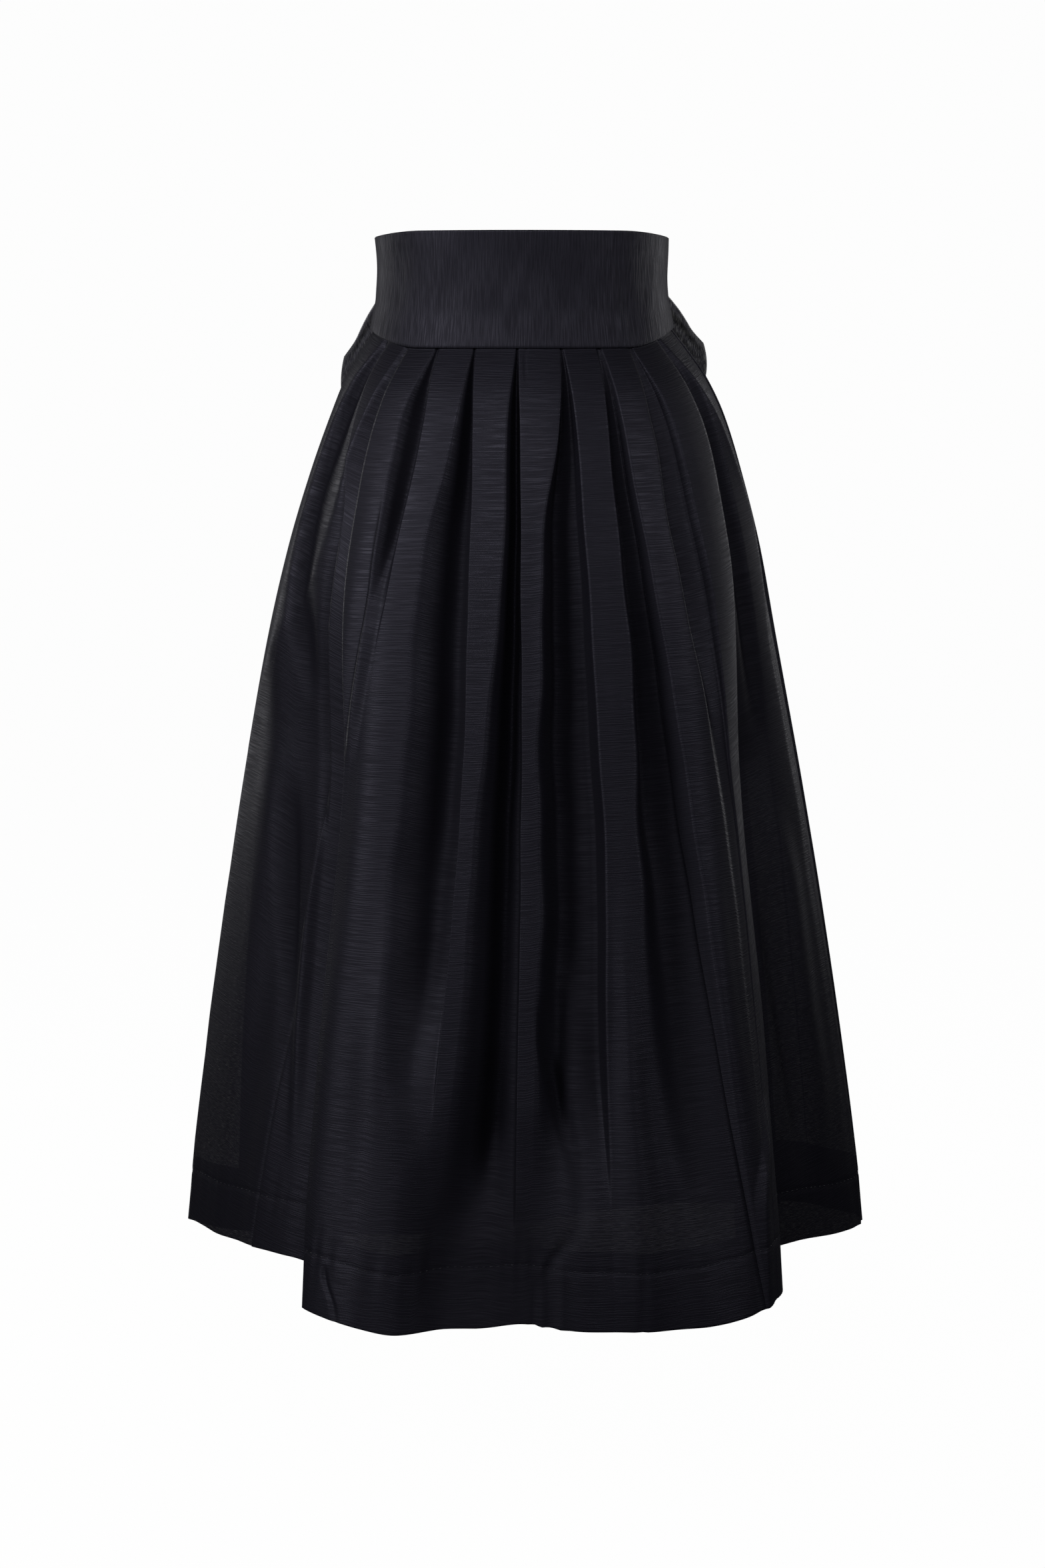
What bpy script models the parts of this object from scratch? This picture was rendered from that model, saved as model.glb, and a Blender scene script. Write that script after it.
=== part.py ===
"""Pleated midi wrap skirt, worn with no wearer showing.

Frame: metres, +Z up, front towards -Y, right of the view towards +X. The origin is at the centre of
the waist, at half the height of the waistband. Bearings are degrees round the body, measured from
the front (-Y) and growing towards +X, so that +90 is the right side and -90 the left side. The cloth
winds from the free edge of the under panel (at a bearing below -180), across the front at 0, and on
to the free edge of the outer panel (at a bearing above +180).
"""
import math
from collections import namedtuple

import bmesh
import bpy

# ---------------------------------------------------------------- driving sizes
SEAM_Z_FRONT = -0.045        # lower edge of the waistband at centre front
SEAM_RISE = 0.015            # how much higher that edge lies at the sides and back
TURN_TO_SIDE = (50.0, 88.0)  # bearings between which the front's heights become the sides'
BAND_TOP_Z_FRONT = 0.046
BAND_TOP_DIP = 0.004         # how much lower the top edge lies at the sides and back
HemPoint = namedtuple("HemPoint", "bearing z")
HEM = (
    # the hem all round: the flanks hang a little higher than the front, and the back lower
    HemPoint(-180.0, -0.8560),
    HemPoint(-135.0, -0.8660),
    HemPoint(-117.0, -0.8660),
    HemPoint(-104.0, -0.8480),
    HemPoint(-96.0, -0.8270),
    HemPoint(-89.0, -0.8060),
    HemPoint(-82.0, -0.7970),
    HemPoint(-74.0, -0.7945),
    HemPoint(-65.0, -0.7914),
    HemPoint(-55.0, -0.7905),
    HemPoint(-47.0, -0.7975),
    HemPoint(-38.0, -0.8005),
    HemPoint(-22.0, -0.8024),
    HemPoint(-9.0, -0.7992),
    HemPoint(0.0, -0.7965),
    HemPoint(10.0, -0.8028),
    HemPoint(28.0, -0.8024),
    HemPoint(37.0, -0.8000),
    HemPoint(44.0, -0.7955),
    HemPoint(52.0, -0.7995),
    HemPoint(72.0, -0.8025),
    HemPoint(82.0, -0.8108),
    HemPoint(91.0, -0.8160),
    HemPoint(105.0, -0.8260),
    HemPoint(126.0, -0.8360),
    HemPoint(180.0, -0.8560),
)

SKIRT_WALL = 0.0012
BAND_WALL = 0.0025
SASH_WALL = 0.0012
SEAM_GAP = 0.0003            # air between two pieces that are sewn together
SIDE_SEAM_GAP = 0.0004       # the same, measured round the body at a side seam
SKIRT_INSET = 0.0007         # the skirt's top edge lies this far inside the band's face

BAND_ENDS = (-252.5, 262.0)  # bearings of the band's inner and outer ends
WRAP_RAMP = (-76.0, -97.0)   # where the under layer goes in below the outer one
HANG_RAMP = (-85.0, -125.0)  # where it begins to hang further inside
HANG_LEVEL = 0.12            # and how far down that is complete
BAND_LAYER_STEP = 0.0031
PANEL_LAYER_STEP = 0.0036
UNDER_HANG = 0.016           # how far the under panel hangs inside the outer one

# ---------------------------------------------------------------- form of the filled-out skirt
Level = namedtuple("Level", "down left right front back square_front square_back")
LEVELS = (
    # down: 0 at the band, 1 at the hem; widths and depths in metres from the axis
    Level(0.00, 0.1235, 0.1235, 0.0900, 0.0900, 2.15, 2.15),
    Level(0.02, 0.1340, 0.1355, 0.0985, 0.0980, 2.15, 2.15),
    Level(0.05, 0.1475, 0.1520, 0.1090, 0.1080, 2.15, 2.15),
    Level(0.09, 0.1605, 0.1675, 0.1190, 0.1170, 2.15, 2.20),
    Level(0.15, 0.1777, 0.1829, 0.1300, 0.1240, 2.15, 2.20),
    Level(0.23, 0.1970, 0.2000, 0.1430, 0.1280, 2.20, 2.30),
    Level(0.33, 0.2159, 0.2158, 0.1560, 0.1290, 2.25, 2.35),
    Level(0.47, 0.2367, 0.2377, 0.1740, 0.1280, 2.30, 2.40),
    Level(0.62, 0.2565, 0.2592, 0.1960, 0.1250, 2.40, 2.45),
    Level(0.78, 0.2761, 0.2805, 0.2200, 0.1220, 2.60, 2.50),
    Level(0.92, 0.2909, 0.2972, 0.2460, 0.1200, 2.80, 2.55),
    Level(1.00, 0.2978, 0.3047, 0.2610, 0.1200, 2.90, 2.60),
)

# ---------------------------------------------------------------- pleats
# Each pleat is a hollow beside the sharp edge of a folded panel. Its figures are given at six levels.
PLEAT_LEVELS = (0.0, 0.08, 0.22, 0.45, 0.72, 1.0)      # seam, hip, upper, middle, lower, hem
Figures = namedtuple("Figures", "seam hip upper middle lower hem")
Pleat = namedtuple("Pleat", "name side edge width depth floor strip")
TO_LEFT, TO_RIGHT = -1, 1    # the side of the sharp edge on which the hollow lies
OUTER_EDGE = Figures(262.0, 262.0, 261.0, 259.0, 256.5, 254.5)      # free edge of the outer panel
UNDER_EDGE = Figures(-252.5, -252.5, -252.5, -252.5, -252.5, -252.5)    # free edge of the under panel
PLEATS = (
    # edge: bearing of the sharp edge; width: degrees to the soft lip; depth in millimetres
    # floor: where the deepest line lies between edge (0) and lip (1); strip: depth share at the edge
    Pleat("left flank", TO_LEFT,
          Figures(-66.7, -64.6, -60.0, -60.5, -63.0, -64.0),
          Figures(2.6, 13.0, 18.0, 15.5, 14.0, 12.0),
          Figures(2.0, 11.0, 18.0, 9.0, 6.0, 3.0), 0.45, 0.40),
    Pleat("left deep fold", TO_LEFT,
          Figures(-55.2, -55.7, -53.7, -46.2, -43.4, -38.4),
          Figures(1.6, 5.5, 12.0, 39.0, 42.5, 48.0),
          Figures(2.0, 13.0, 12.0, 44.0, 70.0, 84.0), 0.20, 0.70),
    Pleat("front left", TO_LEFT,
          Figures(-40.8, -37.6, -39.5, -42.0, -39.0, -36.0),
          Figures(1.6, 9.0, 6.5, 3.0, 2.6, 2.0),
          Figures(2.0, 14.0, 7.0, 1.5, 0.6, 0.3), 0.62, 0.35),
    Pleat("centre left", TO_LEFT,
          Figures(-23.2, -19.1, -16.7, -15.8, -17.6, -19.0),
          Figures(1.6, 7.0, 15.0, 15.7, 12.5, 10.0),
          Figures(2.0, 15.0, 24.0, 27.0, 13.0, 1.0), 0.42, 0.40),
    Pleat("centre", TO_LEFT,
          Figures(-2.0, -1.1, -0.4, -0.2, -1.0, -1.5),
          Figures(1.6, 5.2, 6.0, 11.5, 13.0, 15.0),
          Figures(2.0, 15.0, 21.0, 30.0, 30.0, 4.0), 0.30, 0.75),
    Pleat("centre right", TO_LEFT,
          Figures(20.2, 20.6, 20.3, 20.7, 17.8, 16.0),
          Figures(1.6, 6.8, 14.4, 16.5, 15.0, 15.0),
          Figures(2.0, 15.0, 25.0, 30.0, 24.0, 5.0), 0.62, 0.35),
    Pleat("right seam", TO_LEFT,
          Figures(38.4, 37.6, 39.0, 41.7, 41.3, 41.2),
          Figures(2.6, 5.9, 8.5, 12.7, 15.5, 12.0),
          Figures(2.0, 13.0, 20.0, 33.0, 21.0, 2.0), 0.42, 0.40),
    Pleat("front right", TO_LEFT,
          Figures(53.0, 55.4, 55.7, 54.0, 50.0, 44.6),
          Figures(1.6, 8.2, 9.5, 5.0, 3.0, 2.0),
          Figures(2.0, 12.0, 13.0, 2.0, 0.6, 0.3), 0.72, 0.30),
    Pleat("right deep fold", TO_RIGHT,
          Figures(67.2, 67.3, 65.2, 58.0, 54.0, 48.4),
          Figures(1.6, 9.0, 19.0, 28.0, 33.0, 40.0),
          Figures(2.0, 11.0, 20.0, 48.0, 74.0, 92.0), 0.34, 0.60),
    Pleat("right flank", TO_LEFT,
          Figures(83.0, 85.5, 88.0, 89.0, 90.0, 91.0),
          Figures(1.6, 4.0, 5.0, 6.0, 6.0, 6.0),
          Figures(2.0, 6.0, 6.0, 5.0, 4.0, 3.0), 0.45, 0.50),
)
# The pleats of the back are evenly spaced and plainer, and both layers of the wrap lie in the same
# pleats: how many there are, the bearing of the first, the step to the next, and their share of depth.
PleatRun = namedtuple("PleatRun", "name count first step share")
BACK_RUN = PleatRun("back", 8, 105.0, 18.5, 1.0)
BACK_SWAY = (0.6, -1.1, 1.4, -0.4, -1.5, 0.9, 1.2, -0.8)
BACK_UNEVEN = (0.9, 1.1, 0.8, 1.15, 1.0, 0.85, 1.2, 0.9)
BACK_WIDTH = Figures(1.6, 6.0, 9.0, 11.5, 12.0, 12.0)
BACK_DEPTH = Figures(2.0, 9.0, 13.0, 15.0, 12.0, 8.0)
# The front panel rolls in towards its two deep folds: share of the hem's figures at each level.
Roll = namedtuple("Roll", "pleat reach deep")
ROLLS = (
    Roll("left deep fold", 11.0, 0.017),
    Roll("right deep fold", 15.0, 0.032),
)
ROLL_GROWTH = Figures(0.0, 0.0, 0.10, 0.35, 0.65, 1.0)

EDGE_FOOT = 0.10             # the foot of a sharp edge, as a share of the hollow's width
DEEP_FOLDS = ("left deep fold", "right deep fold")
DEEP_FLANK = 1.3             # how straight the far flank of a deep fold is: 1 is straight
PANEL_STEP = 8.0             # degrees between columns from one pleat to the next
FILL_LEVEL = 0.6             # the level at which those degrees are counted
STEEPEST = 2.6               # most that a steep stretch adds to the wall's depth along the radius
SKIRT_ROWS = (0.0, 0.02, 0.05, 0.09, 0.15, 0.22, 0.33, 0.45, 0.58, 0.72, 0.87, 1.0)

# ---------------------------------------------------------------- waistband
BandRing = namedtuple("BandRing", "up left right front back")
BAND_RINGS = (
    # up: 0 at the lower edge, 1 at the top edge
    BandRing(0.00, 0.1275, 0.1250, 0.0910, 0.0910),
    BandRing(0.14, 0.1252, 0.1235, 0.0895, 0.0895),
    BandRing(0.34, 0.1218, 0.1205, 0.0880, 0.0880),
    BandRing(0.60, 0.1205, 0.1195, 0.0875, 0.0875),
    BandRing(1.00, 0.1226, 0.1200, 0.0885, 0.0885),
)
BAND_SQUARE = 2.15
BAND_STEP_DEG = 5.0

# ---------------------------------------------------------------- ties and bow at the centre back
STRAP_ENDS = (104.0, 167.0)  # bearings where a tie is sewn on and where it enters the knot
STRAP_HALF_WIDTH = (0.031, 0.016)
STRAP_LIFT = 0.0125          # how far the tie stands off the band at the knot
STRAP_Z = 0.003
STRAP_REST = 0.0004          # air between the tie and the band, over the piece's own wall
STRAP_COLUMNS = 8
KNOT_SIZE = (0.040, 0.027, 0.046)
KNOT_CENTRE = (0.0, 0.1090, 0.002)
KNOT_ROUNDING = 0.007
KNOT_STEPS = 3
LoopRing = namedtuple("LoopRing", "top_out top_up low_out low_up behind gap")
LOOP_RINGS = (
    # the sash's two edges, outward from the knot's side and up from the knot's middle
    # behind: off the back of the body; gap: between the sash going out and the sash coming back
    LoopRing(0.000, 0.016, 0.000, -0.016, 0.1090, 0.0060),
    LoopRing(0.022, 0.024, 0.016, -0.028, 0.1140, 0.0100),
    LoopRing(0.055, 0.024, 0.040, -0.052, 0.1200, 0.0170),
    LoopRing(0.088, 0.010, 0.070, -0.080, 0.1240, 0.0200),
    LoopRing(0.115, -0.016, 0.098, -0.100, 0.1250, 0.0160),
    LoopRing(0.135, -0.047, 0.122, -0.114, 0.1250, 0.0080),
)
LOOP_TIP_BULGE = 0.009
LOOP_DROOP = {"right": 1.0, "left": 1.25}
TailRing = namedtuple("TailRing", "down aside behind half_width")
TAIL_RINGS = (
    # down: below the knot; aside: from the centre back; behind: off the back of the body
    TailRing(0.0000, 0.0105, 0.1120, 0.0090),
    TailRing(0.0200, 0.0130, 0.1190, 0.0115),
    TailRing(0.0500, 0.0190, 0.1275, 0.0170),
    TailRing(0.0950, 0.0270, 0.1340, 0.0240),
    TailRing(0.1600, 0.0360, 0.1370, 0.0310),
    TailRing(0.2400, 0.0440, 0.1370, 0.0360),
    TailRing(0.3200, 0.0500, 0.1365, 0.0400),
)
TAIL_SLANT = 0.030           # how much lower the outer corner of a tie's end hangs
SASH_ACROSS = (-1.0, -0.6, -0.2, 0.2, 0.6, 1.0)
SASH_CREASE = 0.0022         # depth of the creases along the sash

NAVY = (0.0140, 0.0135, 0.0190)
CLOTH_ROUGHNESS = 0.55
FOLD_ANGLE = 35.0            # sharper folds than this show as an edge


def between(xs, ys, x):
    """Value at x on the smooth curve through the points (xs, ys), with no overshoot."""
    if x <= xs[0]:
        return ys[0]
    if x >= xs[-1]:
        return ys[-1]
    steps = [xs[i + 1] - xs[i] for i in range(len(xs) - 1)]
    slopes = [(ys[i + 1] - ys[i]) / steps[i] for i in range(len(steps))]
    tangents = [slopes[0]]
    for before, after in zip(slopes, slopes[1:]):
        same_way = before * after > 0
        tangents.append(2 * before * after / (before + after) if same_way else 0.0)
    tangents.append(slopes[-1])
    i = max(k for k in range(len(steps)) if xs[k] <= x)
    t = (x - xs[i]) / steps[i]
    low = ys[i] * (2 * t ** 3 - 3 * t ** 2 + 1) + tangents[i] * steps[i] * (t ** 3 - 2 * t ** 2 + t)
    high = ys[i + 1] * (3 * t ** 2 - 2 * t ** 3) + tangents[i + 1] * steps[i] * (t ** 3 - t ** 2)
    return low + high


def ramp(start, end, x):
    """0 before start, 1 after end, with a smooth rise between."""
    t = min(1.0, max(0.0, (x - start) / (end - start)))
    return t * t * (3 - 2 * t)


def turned(bearing):
    """The bearing between -180 and 180 that looks the same way."""
    return (bearing + 180.0) % 360.0 - 180.0


def oval(bearing, left, right, front, back, square_front, square_back):
    """Distance from the axis to an oval of four half-sizes at a bearing."""
    angle = math.radians(bearing)
    side = right if math.sin(angle) > 0 else left
    depth, square = (front, square_front) if math.cos(angle) > 0 else (back, square_back)
    across = (abs(math.sin(angle)) / side) ** square
    along = (abs(math.cos(angle)) / depth) ** square
    return (across + along) ** (-1.0 / square)


def seam_z(bearing):
    """Height of the waistband's lower edge."""
    return SEAM_Z_FRONT + SEAM_RISE * ramp(*TURN_TO_SIDE, abs(turned(bearing)))


def hem_z(bearing):
    """Height of the hem."""
    return between([point.bearing for point in HEM], [point.z for point in HEM], turned(bearing))


def band_top_z(bearing):
    """Height of the waistband's top edge."""
    return BAND_TOP_Z_FRONT - BAND_TOP_DIP * ramp(*TURN_TO_SIDE, abs(turned(bearing)))


def skirt_oval(bearing, down):
    """Distance from the axis to the filled-out skirt, before its pleats."""
    downs = [level.down for level in LEVELS]
    sizes = [between(downs, [level[k] for level in LEVELS], down) for k in range(1, 7)]
    return oval(bearing, *sizes)


def at_level(figures, down):
    """A pleat's figure at a level."""
    return between(PLEAT_LEVELS, figures, down)


def back_pleats(turn=0.0):
    """The pleats of the back, as rows like those of PLEATS, at bearings moved on by a turn."""
    pleats = []
    for number in range(BACK_RUN.count):
        bearing = BACK_RUN.first + BACK_RUN.step * number + BACK_SWAY[number] + turn
        share = BACK_RUN.share * BACK_UNEVEN[number]
        depth = Figures(BACK_DEPTH.seam, *[share * value for value in BACK_DEPTH[1:]])
        pleats.append(Pleat(f"{BACK_RUN.name} {number + 1}", TO_LEFT, Figures(*[bearing] * 6),
                            BACK_WIDTH, depth, 0.45, 0.35))
    return pleats


def hollow(pleat, bearing, down):
    """Depth in metres of one pleat's hollow at a bearing."""
    edge = at_level(pleat.edge, down)
    width = at_level(pleat.width, down)
    share = (bearing - edge) * pleat.side / width
    if share <= 0.0 or share >= 1.0:
        return 0.0
    deep = at_level(pleat.depth, down) / 1000.0
    if share < EDGE_FOOT:
        return deep * pleat.strip * share / EDGE_FOOT
    if share < pleat.floor:
        run = (share - EDGE_FOOT) / (pleat.floor - EDGE_FOOT)
        return deep * (pleat.strip + (1.0 - pleat.strip) * ramp(0.0, 1.0, run))
    rise = (share - pleat.floor) / (1.0 - pleat.floor)
    if pleat.name in DEEP_FOLDS:
        return deep * (1.0 - rise ** DEEP_FLANK)
    return deep * (1.0 - ramp(0.0, 1.0, rise))


def roll_in(bearing, down):
    """Depth in metres by which the front panel rolls in near its deep folds."""
    total = 0.0
    for roll in ROLLS:
        pleat = next(row for row in PLEATS if row.name == roll.pleat)
        inside = -(bearing - at_level(pleat.edge, down)) * pleat.side
        if 0.0 <= inside < roll.reach:
            total += roll.deep * at_level(ROLL_GROWTH, down) * (1.0 - inside / roll.reach) ** 2
        if -at_level(pleat.width, down) < inside < 0.0:
            fade = 1.0 + inside / at_level(pleat.width, down)
            total += roll.deep * at_level(ROLL_GROWTH, down) * fade ** 4
    return total


def layer_inset(bearing, down):
    """How far the under layer of the wrap lies inside the outer one."""
    wound = 1.0 - ramp(*reversed(WRAP_RAMP), bearing)
    hang = (1.0 - ramp(*reversed(HANG_RAMP), bearing)) * ramp(0.0, HANG_LEVEL, down)
    return PANEL_LAYER_STEP * wound + UNDER_HANG * hang


def skirt_radius(bearing, down, pleats):
    """Distance from the axis to the skirt's outer face."""
    radius = skirt_oval(bearing, down) - SKIRT_INSET * (1.0 - ramp(0.0, 0.05, down))
    return radius - sum(hollow(pleat, bearing, down) for pleat in pleats) - roll_in(bearing, down)


def skirt_point(bearing, down, radius):
    """Point of the skirt at a bearing, a level and a distance from the axis."""
    top = seam_z(bearing) - SEAM_GAP
    angle = math.radians(bearing)
    return (radius * math.sin(angle), -radius * math.cos(angle), top + (hem_z(bearing) - top) * down)


def wall_depths(bearings, radii):
    """How deep the cloth lies along the radius at each point of a row: more where it runs steeply."""
    stretch = []
    for k in range(len(radii) - 1):
        along = math.radians(bearings[k + 1] - bearings[k]) * (radii[k] + radii[k + 1]) / 2.0
        stretch.append(min(STEEPEST, math.hypot(along, radii[k + 1] - radii[k]) / along))
    sides = zip([stretch[0]] + stretch, stretch + [stretch[-1]])
    return [SKIRT_WALL * (before + after) / 2.0 for before, after in sides]


def pleat_columns(pleat, shares):
    """Functions of the level that give the bearings of a pleat's own columns, left to right."""
    def column(share):
        return lambda down: at_level(pleat.edge, down) + pleat.side * share * at_level(pleat.width, down)

    columns = [column(share) for share in shares]
    return columns if pleat.side == TO_RIGHT else columns[::-1]


def fill_columns(first, last):
    """Functions of the level for columns evenly spaced between two others."""
    count = max(1, round((last(FILL_LEVEL) - first(FILL_LEVEL)) / PANEL_STEP) - 1)

    def column(share):
        return lambda down: (1.0 - share) * first(down) + share * last(down)

    return [column((k + 1) / (count + 1)) for k in range(count)]


def panel_columns(start, pleats, end):
    """Columns of a panel from one edge to the other, with those of the pleats between.

    start and end are functions of the level, or None where a pleat's own column is the edge.
    """
    columns = [start] if start else []
    for pleat, shares in pleats:
        own = pleat_columns(pleat, shares)
        if columns:
            columns += fill_columns(columns[-1], own[0])
        columns += own
    if end:
        columns += fill_columns(columns[-1], end) + [end]
    return columns


def all_shares(pleat):
    """Where a pleat's columns lie between its sharp edge (0) and its soft lip (1)."""
    middle = (EDGE_FOOT + pleat.floor) / 2.0
    if pleat.name in DEEP_FOLDS:
        return (0.0, EDGE_FOOT, middle, pleat.floor)
    return (0.0, EDGE_FOOT, middle, pleat.floor, (1.0 + pleat.floor) / 2.0, 1.0)


def beside_foot(pleat):
    """Function of the level for the panel edge that is sewn to the foot of a pleat's sharp edge."""
    def column(down):
        foot = at_level(pleat.edge, down) + pleat.side * EDGE_FOOT * at_level(pleat.width, down)
        gap = math.degrees(SIDE_SEAM_GAP / skirt_oval(foot, down))
        return foot + pleat.side * gap

    return column


def sheet_mesh(name, rows):
    """Mesh of an open sheet through rows of points; it faces a viewer who sees them left to right."""
    cloth = bmesh.new()
    grid = [[cloth.verts.new(point) for point in row] for row in rows]
    for upper, lower in zip(grid, grid[1:]):
        for k in range(len(upper) - 1):
            cloth.faces.new((upper[k], lower[k], lower[k + 1], upper[k + 1]))
    cloth.normal_update()
    mesh = bpy.data.meshes.new(name)
    cloth.to_mesh(mesh)
    cloth.free()
    return mesh


def wall_mesh(name, outer, inner):
    """Closed mesh of a wall between two sheets of the same rows and columns of points.

    Both sheets are split along the same diagonals, so that the wall keeps its depth everywhere.
    """
    cloth = bmesh.new()
    front = [[cloth.verts.new(point) for point in row] for row in outer]
    behind = [[cloth.verts.new(point) for point in row] for row in inner]
    for row in range(len(front) - 1):
        for k in range(len(front[row]) - 1):
            corners = ((row, k), (row + 1, k), (row + 1, k + 1), (row, k + 1))
            near, low, far, high = (front[i][j].co for i, j in corners)
            falls = (far - near).length < (high - low).length
            for picks in ((0, 1, 2), (0, 2, 3)) if falls else ((0, 1, 3), (1, 2, 3)):
                cloth.faces.new([front[corners[p][0]][corners[p][1]] for p in picks])
                cloth.faces.new([behind[corners[p][0]][corners[p][1]] for p in reversed(picks)])
    for edge, far in ((front[0], behind[0]), (behind[-1], front[-1])):
        for k in range(len(edge) - 1):
            cloth.faces.new((edge[k], edge[k + 1], far[k + 1], far[k]))
    for side, turn in ((0, 1), (-1, -1)):
        for row in range(len(front) - 1):
            corners = (front[row][side], behind[row][side], behind[row + 1][side], front[row + 1][side])
            cloth.faces.new(corners[::turn])
    cloth.normal_update()
    mesh = bpy.data.meshes.new(name)
    cloth.to_mesh(mesh)
    cloth.free()
    return mesh


def add_piece(name, mesh, collection):
    """Add a piece to the skirt's collection, with a cloth material of its own."""
    piece = bpy.data.objects.new(name, mesh)
    collection.objects.link(piece)
    material = bpy.data.materials.new(f"{name} cloth")
    material.use_nodes = True
    shader = material.node_tree.nodes["Principled BSDF"]
    shader.inputs["Base Color"].default_value = (*NAVY, 1.0)
    shader.inputs["Roughness"].default_value = CLOTH_ROUGHNESS
    shader.inputs["Metallic"].default_value = 0.0
    mesh.materials.append(material)
    mesh.shade_smooth()
    mesh.set_sharp_from_angle(angle=math.radians(FOLD_ANGLE))
    return piece


def add_cloth(name, rows, wall, collection):
    """Add a piece of cloth: a sheet through rows of points, with its wall behind them."""
    piece = add_piece(name, sheet_mesh(name, rows), collection)
    solid = piece.modifiers.new("Wall", "SOLIDIFY")
    solid.thickness = wall
    solid.offset = -1.0
    solid.use_even_offset = True
    solid.use_quality_normals = True
    return piece


def add_waistband(collection):
    """The waistband: one strip that winds from its inner end round the waist to its outer end."""
    steps = round((BAND_ENDS[1] - BAND_ENDS[0]) / BAND_STEP_DEG)
    bearings = [BAND_ENDS[0] + (BAND_ENDS[1] - BAND_ENDS[0]) * k / steps for k in range(steps + 1)]
    outer, inner = [], []
    for ring in reversed(BAND_RINGS):
        sizes = (ring.left, ring.right, ring.front, ring.back, BAND_SQUARE, BAND_SQUARE)
        for rows, depth in ((outer, 0.0), (inner, BAND_WALL)):
            row = []
            for bearing in bearings:
                wound = 1.0 - ramp(*reversed(WRAP_RAMP), bearing)
                radius = oval(bearing, *sizes) - BAND_LAYER_STEP * wound - depth
                height = seam_z(bearing) + (band_top_z(bearing) - seam_z(bearing)) * ring.up
                angle = math.radians(bearing)
                row.append((radius * math.sin(angle), -radius * math.cos(angle), height))
            rows.append(row)
    return add_piece("waistband", wall_mesh("waistband", outer, inner), collection)


def add_panel(name, columns, pleats, collection, under=False):
    """A pleated panel of the skirt: a wall lofted between its outer and its inner face."""
    outer, inner = [], []
    for down in SKIRT_ROWS:
        bearings = [column(down) for column in columns]
        radii = [skirt_radius(bearing, down, pleats) for bearing in bearings]
        if under:
            radii = [radius - layer_inset(bearing, down) for bearing, radius in zip(bearings, radii)]
        depths = wall_depths(bearings, radii)
        outer.append([skirt_point(b, down, r) for b, r in zip(bearings, radii)])
        inner.append([skirt_point(b, down, r - depth) for b, r, depth in zip(bearings, radii, depths)])
    return add_piece(name, wall_mesh(name, outer, inner), collection)


def add_panels(collection):
    """The front panel, the outer panel on its right and the under panel on its left."""
    named = {row.name: row for row in PLEATS}
    left_seam, right_seam = named["left flank"], named["right seam"]
    seam_index = PLEATS.index(right_seam)
    past_foot = {row.name: [share for share in all_shares(row) if share > EDGE_FOOT] for row in PLEATS}

    front = [(left_seam, (0.0, EDGE_FOOT))]
    front += [(row, all_shares(row)) for row in PLEATS[1:seam_index]]
    front.append((right_seam, past_foot[right_seam.name]))
    columns = panel_columns(None, front, None) + [beside_foot(right_seam)]
    add_panel("front_panel", columns, PLEATS, collection)

    back = back_pleats()
    outer = [(right_seam, (0.0, EDGE_FOOT))]
    outer += [(row, all_shares(row)) for row in list(PLEATS[seam_index + 1:]) + back]
    columns = panel_columns(None, outer, lambda down: at_level(OUTER_EDGE, down))
    add_panel("back_right_panel", columns, PLEATS + tuple(back), collection)

    back = back_pleats(turn=-360.0)
    under = [(row, all_shares(row)) for row in back[1:]] + [(left_seam, past_foot[left_seam.name])]
    columns = panel_columns(lambda down: at_level(UNDER_EDGE, down), under, None)
    columns.append(beside_foot(left_seam))
    add_panel("back_left_panel", columns, PLEATS + tuple(back), collection, under=True)


def crease(across):
    """Height of the creases along the sash at a place across it, from -1 to 1."""
    return SASH_CREASE * math.cos(math.pi * 2.5 * across)


def add_straps(collection):
    """The two ties, which lie on the back of the band from its sides to the knot."""
    for name, side in (("left", -1), ("right", 1)):
        rows = []
        for across in reversed(SASH_ACROSS):
            row = []
            for k in range(STRAP_COLUMNS + 1):
                run = k / STRAP_COLUMNS
                bearing = side * (STRAP_ENDS[0] + (STRAP_ENDS[1] - STRAP_ENDS[0]) * run)
                half = STRAP_HALF_WIDTH[0] + (STRAP_HALF_WIDTH[1] - STRAP_HALF_WIDTH[0]) * ramp(0, 1, run)
                height = STRAP_Z + half * across
                up = (height - seam_z(bearing)) / (band_top_z(bearing) - seam_z(bearing))
                sizes = [between([ring.up for ring in BAND_RINGS], [ring[k] for ring in BAND_RINGS], up)
                         for k in range(1, 5)]
                off = SEAM_GAP + SASH_WALL + STRAP_REST + STRAP_LIFT * run ** 3
                off += (crease(across) + SASH_CREASE) * run
                radius = oval(bearing, *sizes, BAND_SQUARE, BAND_SQUARE) + off
                angle = math.radians(bearing)
                row.append((radius * math.sin(angle), -radius * math.cos(angle), height))
            rows.append(row if side > 0 else row[::-1])
        add_cloth(f"tie_strap_{name}", rows, SASH_WALL, collection)


def add_knot(collection):
    """The knot: a block with well rounded edges."""
    block = bmesh.new()
    bmesh.ops.create_cube(block, size=1.0)
    for vert in block.verts:
        vert.co = [size * part for size, part in zip(KNOT_SIZE, vert.co)]
    bmesh.ops.bevel(block, geom=block.edges[:], offset=KNOT_ROUNDING, segments=KNOT_STEPS,
                    affect="EDGES", profile=0.5)
    mesh = bpy.data.meshes.new("tie_knot")
    block.to_mesh(mesh)
    block.free()
    knot = add_piece("tie_knot", mesh, collection)
    knot.location = KNOT_CENTRE
    return knot


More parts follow.
